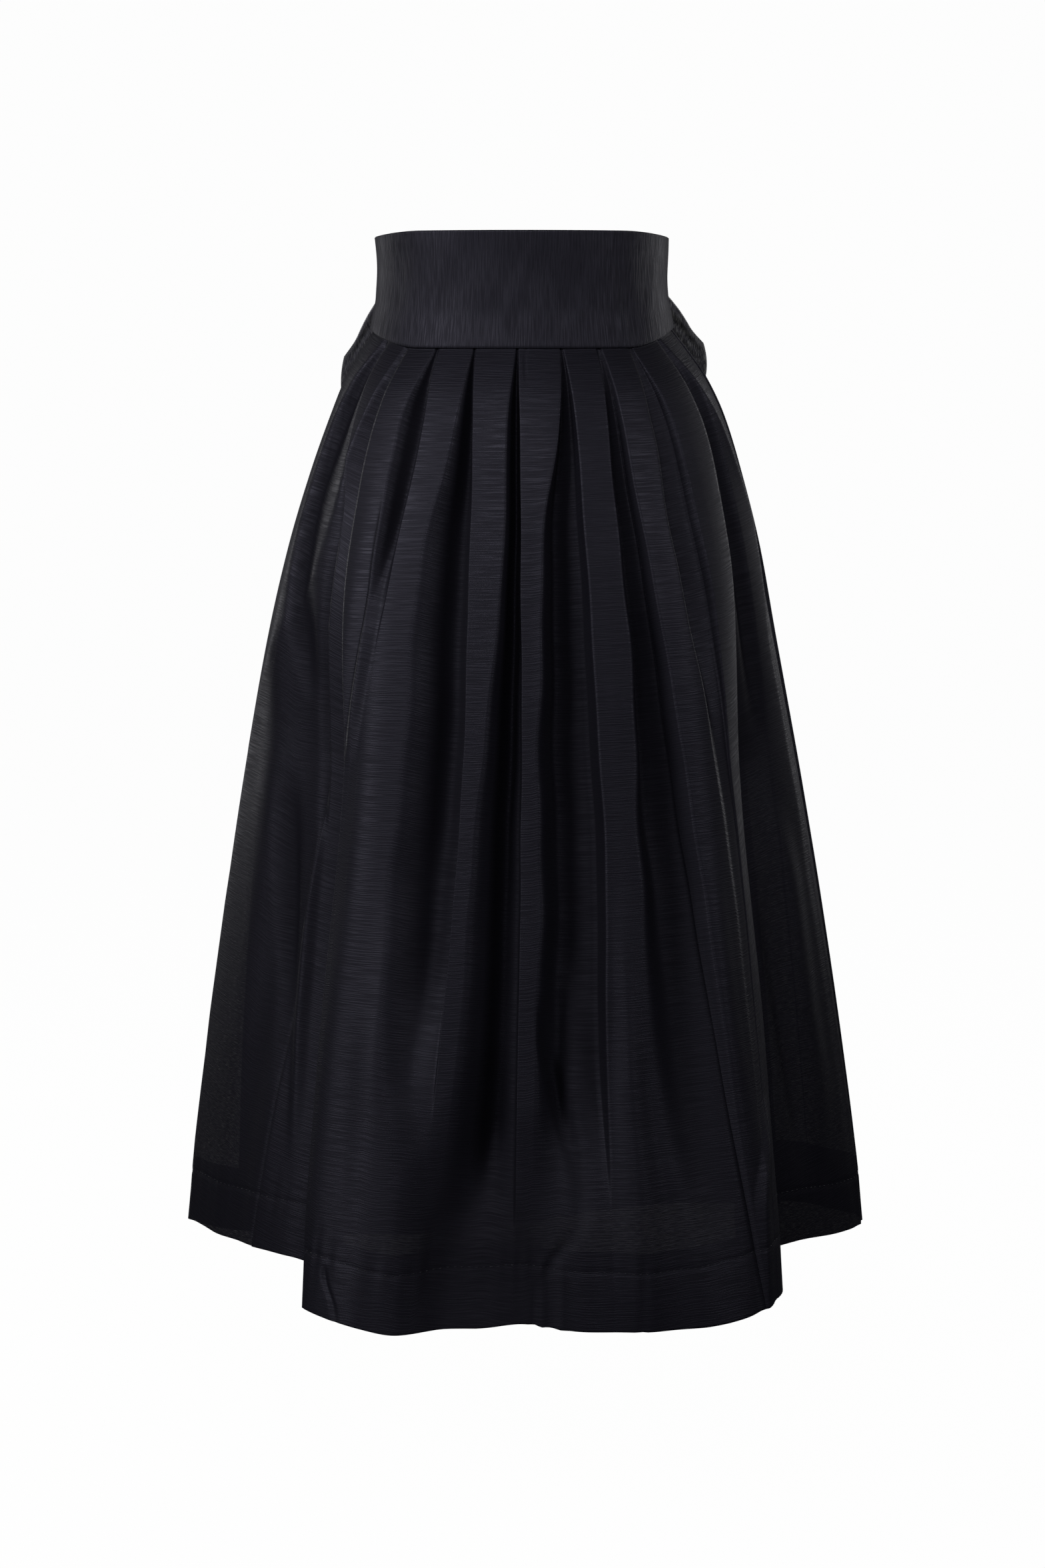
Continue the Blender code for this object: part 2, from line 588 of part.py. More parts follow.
def add_loops(collection):
    """The bow's two loops: the sash goes out beside the body, turns, and comes back behind."""
    tip = LOOP_RINGS[-1]
    for name, side in (("left", -1), ("right", 1)):
        rows = []
        turns = [(ring, -1.0) for ring in LOOP_RINGS] + [(tip, 0.0)]
        turns += [(ring, 1.0) for ring in reversed(LOOP_RINGS)]
        for ring, layer in turns:
            row = []
            for across in SASH_ACROSS:
                share = (1.0 + across) / 2.0
                out = ring.low_out + (ring.top_out - ring.low_out) * share
                up = LOOP_DROOP[name] * (ring.low_up + (ring.top_up - ring.low_up) * share)
                bulge = LOOP_TIP_BULGE * (1.0 - across ** 2) * (out / tip.top_out) ** 2
                bulge += ring.gap / 2.0 * (1.0 - abs(layer))
                x = side * (KNOT_SIZE[0] / 2.0 + SEAM_GAP + out + bulge)
                behind = ring.behind + layer * ring.gap / 2.0 + crease(across) * layer
                row.append((x, behind, KNOT_CENTRE[2] + up))
            rows.append(row if side > 0 else row[::-1])
        add_cloth(f"bow_loop_{name}", rows, SASH_WALL, collection)


def add_tails(collection):
    """The two hanging ends of the ties."""
    top = KNOT_CENTRE[2] - KNOT_SIZE[2] / 2.0 - SEAM_GAP
    for name, side in (("left", -1), ("right", 1)):
        rows = []
        for ring in TAIL_RINGS:
            row = []
            for across in SASH_ACROSS:
                slant = TAIL_SLANT * (1.0 + across) / 2.0 * ring.down / TAIL_RINGS[-1].down
                x = side * (ring.aside + across * ring.half_width)
                row.append((x, ring.behind + crease(across), top - ring.down - slant))
            rows.append(row if side < 0 else row[::-1])
        add_cloth(f"tie_tail_{name}", rows, SASH_WALL, collection)


def main():
    """Build the skirt in an empty scene."""
    for thing in list(bpy.data.objects):
        bpy.data.objects.remove(thing, do_unlink=True)
    skirt = bpy.data.collections.new("pleated_wrap_skirt")
    bpy.context.scene.collection.children.link(skirt)
    add_waistband(skirt)
    add_panels(skirt)
    add_straps(skirt)
    add_knot(skirt)
    add_loops(skirt)
    add_tails(skirt)


main()
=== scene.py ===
"""Looks of a pleated midi wrap skirt of dark navy taffeta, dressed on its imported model.

Metres, +Z up, front towards -Y. Bearings are degrees round the body, measured from the front and
growing towards +X. Depths along the skirt run from 0 at the waistband's seam to 1 at the hem.
"""
import logging
import math
import random
from dataclasses import dataclass, field
from enum import Enum
from typing import Callable, Sequence

import bmesh
import bpy
import numpy as np
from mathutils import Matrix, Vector


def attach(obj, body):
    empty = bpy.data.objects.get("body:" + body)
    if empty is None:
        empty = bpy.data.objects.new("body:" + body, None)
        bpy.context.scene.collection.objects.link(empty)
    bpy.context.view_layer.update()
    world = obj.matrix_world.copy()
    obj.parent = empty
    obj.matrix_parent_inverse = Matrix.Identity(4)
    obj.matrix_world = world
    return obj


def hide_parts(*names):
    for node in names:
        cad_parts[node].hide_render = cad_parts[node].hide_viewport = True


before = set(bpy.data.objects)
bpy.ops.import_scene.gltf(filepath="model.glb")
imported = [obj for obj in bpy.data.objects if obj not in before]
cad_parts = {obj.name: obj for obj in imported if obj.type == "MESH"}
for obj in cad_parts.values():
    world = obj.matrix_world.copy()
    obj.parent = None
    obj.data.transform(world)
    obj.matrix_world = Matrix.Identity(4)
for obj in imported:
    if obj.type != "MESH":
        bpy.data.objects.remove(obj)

log = logging.getLogger("wrap skirt")

BODY = "root"
LEVELS_AT = (0.0, 0.08, 0.22, 0.45, 0.72, 1.0)   # seam, hip, upper, middle, lower, hem
NEVER = (2.0, 3.0)             # depths below the hem: what starts there doesn't happen
SEAM_GAP = 0.0003              # room between sewn pieces
WOUND_UNDER = (-97.0, -76.0)   # bearings between which the wrap steps in under its outer layer

Six = tuple[float, float, float, float, float, float]
Line = Callable[[float], float]       # a bearing for each depth along the skirt
KeyLines = list[tuple[Line, int]]     # lines down a panel, each with the columns that lead up to it


# ---------------------------------------------------------------- curves
def between(xs: Sequence[float], ys: Sequence[float], x: float) -> float:
    """Value on the smooth curve through some points, with no overshoot.

    Args:
        xs: rising places of the points.
        ys: their values.
        x: the place asked for.

    Returns:
        The value at x, held beyond the first and the last point.
    """
    if x <= xs[0]:
        return ys[0]
    if x >= xs[-1]:
        return ys[-1]
    steps = [xs[i + 1] - xs[i] for i in range(len(xs) - 1)]
    slopes = [(ys[i + 1] - ys[i]) / steps[i] for i in range(len(steps))]
    tangents = [slopes[0]]
    for before, after in zip(slopes, slopes[1:]):
        tangents.append(2 * before * after / (before + after) if before * after > 0 else 0.0)
    tangents.append(slopes[-1])
    i = max(k for k in range(len(steps)) if xs[k] <= x)
    t = (x - xs[i]) / steps[i]
    low = ys[i] * (2 * t ** 3 - 3 * t ** 2 + 1) + tangents[i] * steps[i] * (t ** 3 - 2 * t ** 2 + t)
    high = ys[i + 1] * (3 * t ** 2 - 2 * t ** 3) + tangents[i + 1] * steps[i] * (t ** 3 - t ** 2)
    return low + high


def ramp(start: float, end: float, x: np.ndarray | float) -> np.ndarray:
    """Smooth rise from 0 at start to 1 at end, at each place x."""
    t = np.clip((np.asarray(x, float) - start) / (end - start), 0.0, 1.0)
    return t * t * (3.0 - 2.0 * t)


def turned(bearing: np.ndarray) -> np.ndarray:
    """The bearings between -180 and 180 that look the same way."""
    return (bearing + 180.0) % 360.0 - 180.0


def wound_under(bearing: np.ndarray) -> np.ndarray:
    """How far the wrap has stepped in under its outer layer, from 0 to 1."""
    return 1.0 - ramp(*WOUND_UNDER, bearing)


def oval(bearing: np.ndarray, left: float, right: float, front: float, back: float,
         square_front: float, square_back: float) -> np.ndarray:
    """Distance from the axis to an oval of four half-sizes.

    Args:
        bearing: degrees round the body.
        left, right, front, back: the oval's half-sizes, in metres.
        square_front, square_back: how square its two halves are; 2 is round.

    Returns:
        The distance at each bearing, in metres.
    """
    angle = np.radians(bearing)
    side = np.where(np.sin(angle) > 0, right, left)
    ahead = np.cos(angle) > 0
    depth = np.where(ahead, front, back)
    square = np.where(ahead, square_front, square_back)
    across = (np.abs(np.sin(angle)) / side) ** square
    along = (np.abs(np.cos(angle)) / depth) ** square
    return (across + along) ** (-1.0 / square)


def around(bearing: np.ndarray | float, radius: np.ndarray, height: np.ndarray) -> np.ndarray:
    """Points round the body, at bearings in degrees and distances from the axis in metres."""
    angle = np.radians(bearing)
    return np.stack([radius * np.sin(angle), -radius * np.cos(angle), height], axis=-1)


# ---------------------------------------------------------------- the skirt's form
class Side(Enum):
    """The side of a pleat's sharp edge on which its hollow lies."""

    LEFT = -1
    RIGHT = 1


@dataclass(frozen=True)
class Pleat:
    """One pleat: a hollow beside the sharp edge of a folded panel, with its figures at six levels."""

    name: str
    side: Side
    edge: Six            # bearing of the sharp edge
    width: Six           # degrees from the edge to the soft lip
    depth: Six           # millimetres
    floor: float         # where the deepest line lies between edge (0) and lip (1)
    strip: float         # depth share at the foot of the edge
    straight: bool = False   # the far flank rises straight; others are soft at the lip
    foot: float = 0.04       # the foot of the edge, as a share of the width
    gone: tuple[float, float] = NEVER    # depths between which the pleat dies out
    dim: tuple[float, float] = NEVER     # depths between which light begins to reach its floor
    unsteady: float = 0.22   # degrees that the sharp edge wavers

    def waver(self, down: float, turn: float) -> float:
        """How far a line of the pleat wavers; it is steady at the seam and low down.

        Args:
            down: depth along the skirt.
            turn: moves the waver on, so that edge and lip don't waver alike.

        Returns:
            A share from about -1 to 1.
        """
        loose = float(ramp(0.02, 0.12, down) * (1.0 - ramp(0.52, 0.74, down)))
        phase = self.edge[1] * 0.7 + turn
        return loose * (0.6 * math.sin(23.0 * down + phase) + 0.4 * math.sin(51.0 * down + 2.3 * phase))

    def edge_at(self, down: float) -> float:
        """Bearing of the sharp edge at a depth along the skirt."""
        return between(LEVELS_AT, self.edge, down) + self.unsteady * self.waver(down, 0.0)

    def width_at(self, down: float) -> float:
        """Degrees from the edge to the lip at a depth along the skirt."""
        return between(LEVELS_AT, self.width, down) * (1.0 + 0.2 * self.unsteady * self.waver(down, 2.0))

    def line(self, share: float) -> Line:
        """The line down the skirt that lies at a share of the width from the edge."""
        return lambda down: self.edge_at(down) + self.side.value * share * self.width_at(down)

    def hollow(self, bearing: np.ndarray, down: float) -> np.ndarray:
        """Depth of the hollow.

        Args:
            bearing: degrees round the body.
            down: depth along the skirt.

        Returns:
            Metres below the filled-out skirt at each bearing.
        """
        share = (bearing - self.edge_at(down)) * self.side.value / self.width_at(down)
        inside = (share > 0.0) & (share < 1.0)
        drop = self.strip * ramp(0.0, self.foot, share)
        sink = (1.0 - self.strip) * ramp(self.foot, self.floor, share)
        rise = np.clip((share - self.floor) / (1.0 - self.floor), 0.0, 1.0)
        lift = rise ** 1.3 if self.straight else ramp(0.0, 1.0, rise)
        deep = between(LEVELS_AT, self.depth, down) / 1000.0 * (1.0 - float(ramp(*self.gone, down)))
        return np.where(inside, (drop + sink) * (1.0 - lift), 0.0) * deep


@dataclass(frozen=True)
class Crease:
    """A soft ridge (or, with negative heights, a groove) that runs down a panel.

    Each row holds a depth along the skirt, a bearing, the degrees it reaches to the left and to the
    right, and its height in millimetres.
    """

    name: str
    rows: tuple[tuple[float, float, float, float, float], ...]

    def lift(self, bearing: np.ndarray, down: float) -> np.ndarray:
        """How far the crease lifts the cloth.

        Args:
            bearing: degrees round the body.
            down: depth along the skirt.

        Returns:
            Metres at each bearing.
        """
        downs, *figures = zip(*self.rows)
        if not downs[0] - 1e-9 < down < downs[-1] + 1e-9:
            return np.zeros_like(bearing)
        line, left, right, height = [between(downs, column, down) for column in figures]
        away = bearing - line
        place = np.abs(np.where(away < 0.0, away / left, away / right))
        return ramp(0.0, 1.0, 1.0 - place) * height / 1000.0


@dataclass
class SkirtForm:
    """The filled-out skirt with its pleats: where its cloth lies at each bearing and depth."""

    seam_front: float = -0.045    # height of the seam at the front
    seam_rise: float = 0.015      # how much higher it lies at the sides and back
    layer_step: float = 0.0036    # from the outer to the under panel at the seam
    under_hang: float = 0.016     # and how much further in the under panel hangs
    ring_downs: tuple[float, ...] = (0, .02, .05, .09, .15, .23, .33, .47, .62, .78, .92, 1)
    left: tuple[float, ...] = (.1235, .1340, .1475, .1605, .1777, .1970, .2159, .2367, .2565, .2761,
                               .2909, .2978)
    right: tuple[float, ...] = (.1235, .1355, .1520, .1675, .1829, .2000, .2158, .2377, .2592, .2805,
                                .2972, .3047)
    front: tuple[float, ...] = (.0900, .0985, .1090, .1190, .1300, .1430, .1560, .1740, .1960, .2200,
                                .2460, .2610)
    back: tuple[float, ...] = (.0900, .0980, .1080, .1170, .1240, .1280, .1290, .1280, .1250, .1220,
                               .1200, .1200)
    square_front: tuple[float, ...] = (2.15, 2.15, 2.15, 2.15, 2.15, 2.20, 2.25, 2.30, 2.40, 2.60,
                                       2.80, 2.90)
    square_back: tuple[float, ...] = (2.15, 2.15, 2.15, 2.20, 2.20, 2.30, 2.35, 2.40, 2.45, 2.50,
                                      2.55, 2.60)
    pleats: tuple[Pleat, ...] = (
        Pleat("left flank", Side.LEFT, (-66.7, -64.6, -60.0, -60.5, -63.0, -64.0),
              (2.6, 13.0, 18.0, 15.5, 14.0, 12.0), (2.0, 5.0, 8.0, 7.0, 6.0, 3.0), .45, .50,
              unsteady=0.0),
        Pleat("left deep fold", Side.LEFT, (-55.2, -55.7, -53.7, -46.2, -43.4, -38.4),
              (1.6, 5.5, 12.0, 39.0, 42.5, 48.0), (2.0, 13.0, 12.0, 44.0, 70.0, 84.0), .20, .70, True,
              dim=(.10, .20), unsteady=0.0),
        Pleat("front left", Side.LEFT, (-40.8, -37.6, -39.5, -42.0, -39.0, -36.0),
              (1.6, 9.0, 6.5, 3.0, 2.6, 2.0), (2.0, 15.0, 13.0, 3.5, 0.6, 0.3), .55, .60,
              gone=(.17, .32)),
        Pleat("centre left", Side.LEFT, (-23.2, -19.1, -16.7, -15.8, -17.6, -19.0),
              (1.6, 7.0, 15.0, 15.7, 12.5, 10.0), (2.0, 15.0, 24.0, 27.0, 15.0, 5.0), .42, .66,
              gone=(.62, .80)),
        Pleat("centre", Side.LEFT, (-2.0, -1.1, -0.4, -0.2, -1.0, -1.5),
              (1.6, 5.2, 6.0, 11.5, 13.0, 17.0), (2.0, 15.0, 21.0, 30.0, 30.0, 20.0), .34, .75,
              gone=(.80, .92)),
        Pleat("centre right", Side.LEFT, (20.2, 20.6, 20.3, 20.7, 17.8, 16.0),
              (1.6, 6.8, 14.4, 16.5, 15.0, 15.0), (2.0, 15.0, 25.0, 31.0, 26.0, 10.0), .58, .60,
              gone=(.72, .90)),
        Pleat("right seam", Side.LEFT, (38.4, 37.6, 39.0, 41.7, 41.3, 41.2),
              (2.6, 5.9, 8.5, 12.7, 15.5, 12.0), (2.0, 13.0, 20.0, 32.0, 18.0, 2.0), .42, .52),
        Pleat("front right", Side.LEFT, (53.0, 55.4, 55.7, 54.0, 50.0, 44.6),
              (1.6, 8.2, 9.5, 5.0, 3.0, 2.0), (2.0, 12.0, 13.0, 2.0, 0.6, 0.3), .66, .55),
        Pleat("right deep fold", Side.RIGHT, (67.2, 67.3, 65.2, 58.0, 54.0, 48.4),
              (1.6, 9.0, 19.0, 28.0, 33.0, 40.0), (2.0, 11.0, 20.0, 48.0, 74.0, 92.0), .34, .60, True,
              dim=(.36, .52), unsteady=0.0),
        Pleat("right flank", Side.LEFT, (83.0, 85.5, 88.0, 89.0, 90.0, 91.0),
              (1.6, 4.0, 5.0, 6.0, 6.0, 6.0), (2.0, 6.0, 6.0, 5.0, 4.0, 3.0), .45, .50),
    )
    rolls: tuple[tuple[str, float, float], ...] = (   # pleat, reach in degrees, metres
        ("left deep fold", 11.0, .017), ("right deep fold", 15.0, .032))
    roll_growth: Six = (0.0, 0.0, 0.10, 0.35, 0.65, 1.0)
    back_sway: tuple[float, ...] = (0.6, -1.1, 1.4, -0.4, -1.5, 0.9, 1.2, -0.8)
    back_uneven: tuple[float, ...] = (0.9, 1.1, 0.8, 1.15, 1.0, 0.85, 1.2, 0.9)
    back_first: float = 105.0     # bearing of the back's first pleat
    back_step: float = 18.5       # degrees from one to the next
    back_width: Six = (1.6, 6.0, 9.0, 11.5, 12.0, 12.0)
    back_depth: Six = (2.0, 9.0, 13.0, 15.0, 12.0, 8.0)
    hem: tuple[tuple[float, float], ...] = (          # bearing, height
        (-180.0, -.8560), (-135.0, -.8660), (-117.0, -.8660), (-104.0, -.8485), (-96.0, -.8285),
        (-89.0, -.8085), (-82.0, -.7985), (-74.0, -.7955), (-65.0, -.7916), (-55.0, -.7900),
        (-47.0, -.7965), (-38.0, -.7972), (-30.0, -.7992), (-22.0, -.8040), (-9.0, -.8036),
        (0.0, -.7990), (10.0, -.8020), (28.0, -.8020), (37.0, -.8000), (44.0, -.7950),
        (52.0, -.7988), (72.0, -.8012), (82.0, -.8088), (91.0, -.8145), (105.0, -.8255),
        (126.0, -.8360), (180.0, -.8560))
    creases: tuple[Crease, ...] = (
        Crease("left lobe", (
            (.54, -28.0, 7.0, 5.0, 0.0), (.66, -28.2, 8.0, 5.5, 4.0), (.74, -27.6, 9.0, 5.5, 6.5),
            (.80, -25.4, 10.0, 6.0, 7.0), (.87, -23.5, 10.0, 6.0, 7.0), (.93, -22.3, 10.0, 6.0, 6.0),
            (1.0, -21.5, 10.0, 7.0, 4.0))),
        Crease("trough that crosses below the centre pleat", (
            (.72, -6.5, 6.0, 5.0, 0.0), (.79, -7.0, 12.0, 6.0, -7.0), (.85, -9.0, 14.0, 10.0, -14.0),
            (.90, -11.5, 12.0, 16.0, -18.0), (.95, -13.0, 10.0, 22.0, -17.0),
            (1.0, -13.0, 9.0, 26.0, -12.0))),
        Crease("lower dip in the middle", (
            (.78, 4.0, 10.0, 12.0, 0.0), (.88, 3.0, 12.0, 14.0, -5.0), (.94, 3.0, 14.0, 14.0, -6.0),
            (1.0, 3.0, 16.0, 14.0, -5.0))),
        Crease("middle ridge", (
            (.62, 10.5, 4.0, 4.5, 0.0), (.70, 11.5, 4.5, 5.0, 6.0), (.76, 11.6, 4.5, 5.0, 7.0),
            (.82, 11.2, 4.5, 5.0, 3.0), (.87, 10.8, 4.5, 5.0, 0.0))),
        Crease("middle diagonal", (
            (.66, 4.5, 2.0, 3.0, 0.0), (.71, 4.8, 2.2, 3.0, -6.0), (.76, 7.3, 2.6, 3.0, -8.0),
            (.81, 9.6, 2.6, 3.0, -6.0), (.86, 11.0, 2.4, 2.6, -3.0), (.90, 11.0, 2.0, 2.0, 0.0))),
        Crease("right ridge", (
            (.55, 23.5, 3.0, 4.5, 0.0), (.66, 22.5, 3.0, 4.5, 3.0), (.78, 21.3, 4.0, 5.5, 6.5),
            (.87, 21.1, 5.0, 6.5, 7.5), (.96, 21.0, 5.0, 7.0, 4.0), (1.0, 21.0, 5.0, 7.0, 1.0))),
        Crease("beside the right seam", (
            (.52, 44.0, 2.5, 4.0, 0.0), (.62, 42.8, 2.5, 4.0, 2.0), (.72, 42.0, 2.2, 4.0, 2.5),
            (.82, 42.5, 2.2, 4.0, 1.0), (.90, 43.0, 2.5, 4.0, 0.0))),
        Crease("curve at the right edge", (
            (.79, 50.0, 2.5, 3.0, 0.0), (.85, 46.5, 2.5, 3.0, 4.0), (.90, 43.4, 2.2, 3.0, 4.5),
            (.95, 42.4, 2.0, 3.0, 4.0), (1.0, 41.5, 2.0, 3.0, 3.0))),
        Crease("hem fold", (
            (.84, 12.0, 1.6, 2.2, 0.0), (.89, 10.8, 1.6, 2.2, -1.0), (.93, 5.7, 1.4, 2.2, -1.4),
            (.96, 3.1, 1.2, 2.0, -1.4), (1.0, 2.2, 1.2, 1.8, -1.2))),
        Crease("hem pucker", (
            (.925, 4.2, 1.0, 1.2, 0.0), (.95, 3.6, 0.9, 1.1, 2.5), (1.0, 3.3, 1.2, 1.4, 3.0))),
        Crease("hem pucker beside it", (
            (.93, 7.0, 1.0, 1.2, 0.0), (.95, 7.0, 1.0, 1.2, 1.8), (1.0, 6.7, 1.2, 1.4, 2.0))),
        Crease("upright hem crease", (
            (.91, 21.1, 0.8, 0.8, 0.0), (.94, 20.9, 0.8, 0.8, -1.4), (1.0, 20.0, 1.0, 1.0, -1.2))),
        Crease("left hem wedge", (
            (.945, -34.6, 0.8, 0.8, 0.0), (.96, -34.1, 0.8, 0.9, -1.4), (.985, -31.8, 0.9, 0.9, -1.2),
            (1.0, -31.0, 1.0, 1.0, -0.4))),
        Crease("dart by the centre pleat", (
            (.0, 1.6, 0.5, 0.9, -0.9), (.02, 1.1, 0.5, 0.9, -1.0), (.04, 0.8, 0.5, 0.9, 0.0))),
        Crease("fold on the left hip", (
            (.0, -66.2, 1.0, 2.0, 0.0), (.02, -69.0, 1.6, 3.5, -3.0), (.05, -72.0, 1.8, 6.0, -6.0),
            (.10, -75.2, 2.0, 8.0, -9.0), (.16, -76.0, 2.0, 8.5, -10.0), (.23, -74.0, 2.0, 7.5, -9.0),
            (.31, -70.5, 2.0, 6.5, -6.0), (.39, -67.0, 2.0, 5.0, 0.0))),
        Crease("inner edge of the front left pleat", (
            (.14, -45.4, 1.4, 2.5, 0.0), (.20, -44.8, 1.4, 3.0, 3.5), (.28, -44.4, 1.4, 3.2, 4.0),
            (.36, -45.2, 1.4, 3.2, 3.5), (.44, -45.9, 1.2, 3.0, 0.0))),
        Crease("line below the left hip", (
            (.20, -60.5, 3.0, 1.2, 0.0), (.27, -60.8, 3.0, 1.2, -5.0), (.38, -62.0, 3.0, 1.2, -6.0),
            (.46, -61.0, 3.0, 1.2, -4.0), (.54, -60.5, 3.0, 1.2, 0.0))),
        Crease("hollow low on the left", (
            (.46, -72.0, 3.0, 3.5, 0.0), (.54, -70.5, 3.5, 4.0, -5.0), (.63, -68.0, 3.5, 4.0, -6.0),
            (.72, -65.5, 3.5, 4.0, -4.0), (.82, -64.0, 3.5, 4.0, 0.0))),
        Crease("ridge low on the left", (
            (.50, -61.5, 2.0, 2.0, 0.0), (.60, -61.8, 2.2, 1.8, 3.5), (.72, -61.0, 2.2, 1.8, 4.5),
            (.80, -59.5, 2.2, 1.8, 3.5), (.90, -57.5, 2.0, 1.8, 0.0))),
        Crease("fold on the right hip", (
            (.02, 70.0, 1.2, 1.6, 0.0), (.07, 73.0, 2.2, 1.6, -4.0), (.14, 75.5, 3.0, 1.8, -7.0),
            (.21, 76.5, 3.5, 2.0, -8.0), (.32, 77.5, 3.5, 2.0, -6.0), (.44, 77.0, 3.0, 2.0, 0.0))),
        Crease("fold low on the right", (
            (.50, 78.0, 3.0, 4.0, 0.0), (.60, 79.5, 2.2, 4.0, 4.0), (.72, 79.5, 2.2, 4.0, 5.0),
            (.82, 80.2, 2.2, 4.0, 4.0), (.93, 79.8, 2.2, 4.0, 0.0))),
        Crease("hollow low on the right", (
            (.58, 74.0, 3.0, 3.0, 0.0), (.68, 75.0, 3.0, 2.5, -4.0), (.82, 75.5, 3.0, 2.5, -5.0),
            (.94, 75.0, 3.0, 2.5, 0.0))),
    )
    back_creases: tuple[tuple[float, ...], ...] = (   # bearing, lean, from, to, millimetres
        (118.0, 2.5, .10, .58, 3.0), (136.0, -3.0, .34, .95, 3.5), (155.0, 2.0, .05, .44, -2.5),
        (173.0, 3.0, .50, 1.0, 3.0), (192.0, -2.5, .14, .70, -3.0), (211.0, 3.5, .40, .96, 4.0),
        (229.0, -2.0, .08, .52, 2.5), (246.0, 2.0, .55, 1.0, -2.5))
    waves: list[tuple[float, ...]] = field(default_factory=list)   # across, along, phase, drift, mm

    def __post_init__(self) -> None:
        """Lay out the back's creases, and the faint waves that all worn cloth has."""
        for turn in (0.0, -360.0):
            for number, (bearing, lean, start, end, height) in enumerate(self.back_creases):
                rows = tuple(
                    (start + (end - start) * share, bearing + turn + lean * (share - 0.5), 2.5, 3.5,
                     height * math.sin(math.pi * share)) for share in (0.0, 0.3, 0.65, 1.0))
                self.creases += (Crease(f"back {number + 1}", rows),)
        rolled = random.Random(11)
        for _ in range(9):
            across = 360.0 / rolled.uniform(8.0, 24.0)
            self.waves.append((round(across), rolled.uniform(1.0, 5.0), rolled.uniform(0, 6.283),
                               rolled.uniform(-4.0, 4.0), rolled.uniform(0.06, 0.20)))

    def back_pleats(self, turn: float) -> list[Pleat]:
        """The plainer pleats of the back.

        Args:
            turn: degrees added to their bearings, a whole turn for the under panel.

        Returns:
            The pleats, left to right.
        """
        pleats = []
        for number, (sway, uneven) in enumerate(zip(self.back_sway, self.back_uneven)):
            bearing = self.back_first + self.back_step * number + sway + turn
            depth = (self.back_depth[0],) + tuple(uneven * value for value in self.back_depth[1:])
            pleats.append(Pleat(f"back {number + 1}", Side.LEFT, (bearing,) * 6, self.back_width, depth,
                                .45, .35))
        return pleats

    def named(self, name: str) -> Pleat:
        """The front or side pleat of that name."""
        return next(pleat for pleat in self.pleats if pleat.name == name)

    def seam_z(self, bearing: np.ndarray) -> np.ndarray:
        """Height of the waistband's lower edge."""
        return self.seam_front + self.seam_rise * ramp(50.0, 88.0, np.abs(turned(bearing)))

    def hem_z(self, bearing: np.ndarray) -> np.ndarray:
        """Height of the hem.

        Args:
            bearing: degrees round the body.

        Returns:
            Metres at each bearing.
        """
        bearings, heights = zip(*self.hem)
        fine = np.arange(-180.0, 180.5, 0.5)
        line = [between(bearings, heights, place) for place in fine]
        return np.interp(turned(bearing), fine, line)

    def filled(self, bearing: np.ndarray, down: float) -> np.ndarray:
        """Distance from the axis to the filled-out skirt, before its pleats.

        Args:
            bearing: degrees round the body.
            down: depth along the skirt.

        Returns:
            Metres at each bearing.
        """
        sizes = [between(self.ring_downs, column, down) for column in
                 (self.left, self.right, self.front, self.back, self.square_front, self.square_back)]
        return oval(bearing, *sizes)

    def rolled_in(self, bearing: np.ndarray, down: float) -> np.ndarray:
        """How far the front rolls in towards its two deep folds.

        Args:
            bearing: degrees round the body.
            down: depth along the skirt.

        Returns:
            Metres at each bearing.
        """
        total = np.zeros_like(bearing)
        grown = between(LEVELS_AT, self.roll_growth, down)
        for name, reach, deep in self.rolls:
            pleat = self.named(name)
            inside = -(bearing - pleat.edge_at(down)) * pleat.side.value
            near = np.clip(1.0 - inside / reach, 0.0, 1.0) ** 2 * (inside >= 0.0)
            far = np.clip(1.0 + inside / pleat.width_at(down), 0.0, 1.0) ** 4 * (inside < 0.0)
            total += deep * grown * (near + far)
        return total

    def faint_waves(self, bearing: np.ndarray, down: float) -> np.ndarray:
        """Height of the faint waves of the cloth.

        Args:
            bearing: degrees round the body.
            down: depth along the skirt.

        Returns:
            Metres at each bearing.
        """
        total = np.zeros_like(bearing)
        for across, along, phase, drift, size in self.waves:
            lean = drift * math.sin(along * down + phase)
            total += size * np.sin(np.radians(bearing) * across + phase + lean)
        return total * 0.001 * float(ramp(0.02, 0.35, down))

    def painted_fold_shade(self, bearing: np.ndarray, down: float, pleats: Sequence[Pleat]) -> np.ndarray:
        """How much painted shade the cloth gets, from how deep in its folds it lies.

        Args:
            bearing: degrees round the body.
            down: depth along the skirt.
            pleats: the pleats of the panel.

        Returns:
            0 with no painted shade, 1 with the most, well inside a fold.
        """
        deep = np.zeros_like(bearing)
        for pleat in pleats:
            deep = deep + pleat.hollow(bearing, down) * (1.0 - float(ramp(*pleat.dim, down)))
        for crease in self.creases:
            deep = deep - np.minimum(crease.lift(bearing, down), 0.0) * 2.0
        return ramp(0.002, 0.020, deep)

    def under_inset(self, bearing: np.ndarray, down: float) -> np.ndarray:
        """Metres by which the under layer of the wrap lies inside the outer one."""
        hang = (1.0 - ramp(-125.0, -85.0, bearing)) * float(ramp(0.0, 0.12, down))
        return self.layer_step * wound_under(bearing) + self.under_hang * hang

    def radius(self, bearing: np.ndarray, down: float, pleats: Sequence[Pleat]) -> np.ndarray:
        """Distance from the axis to the cloth's outer face.

        Args:
            bearing: degrees round the body.
            down: depth along the skirt.
            pleats: the pleats of the panel.

        Returns:
            Metres at each bearing.
        """
        radius = self.filled(bearing, down) - 0.0007 * (1.0 - float(ramp(0.0, 0.05, down)))
        for pleat in pleats:
            radius = radius - pleat.hollow(bearing, down)
        for crease in self.creases:
            radius = radius + crease.lift(bearing, down)
        return radius - self.rolled_in(bearing, down) + self.faint_waves(bearing, down)


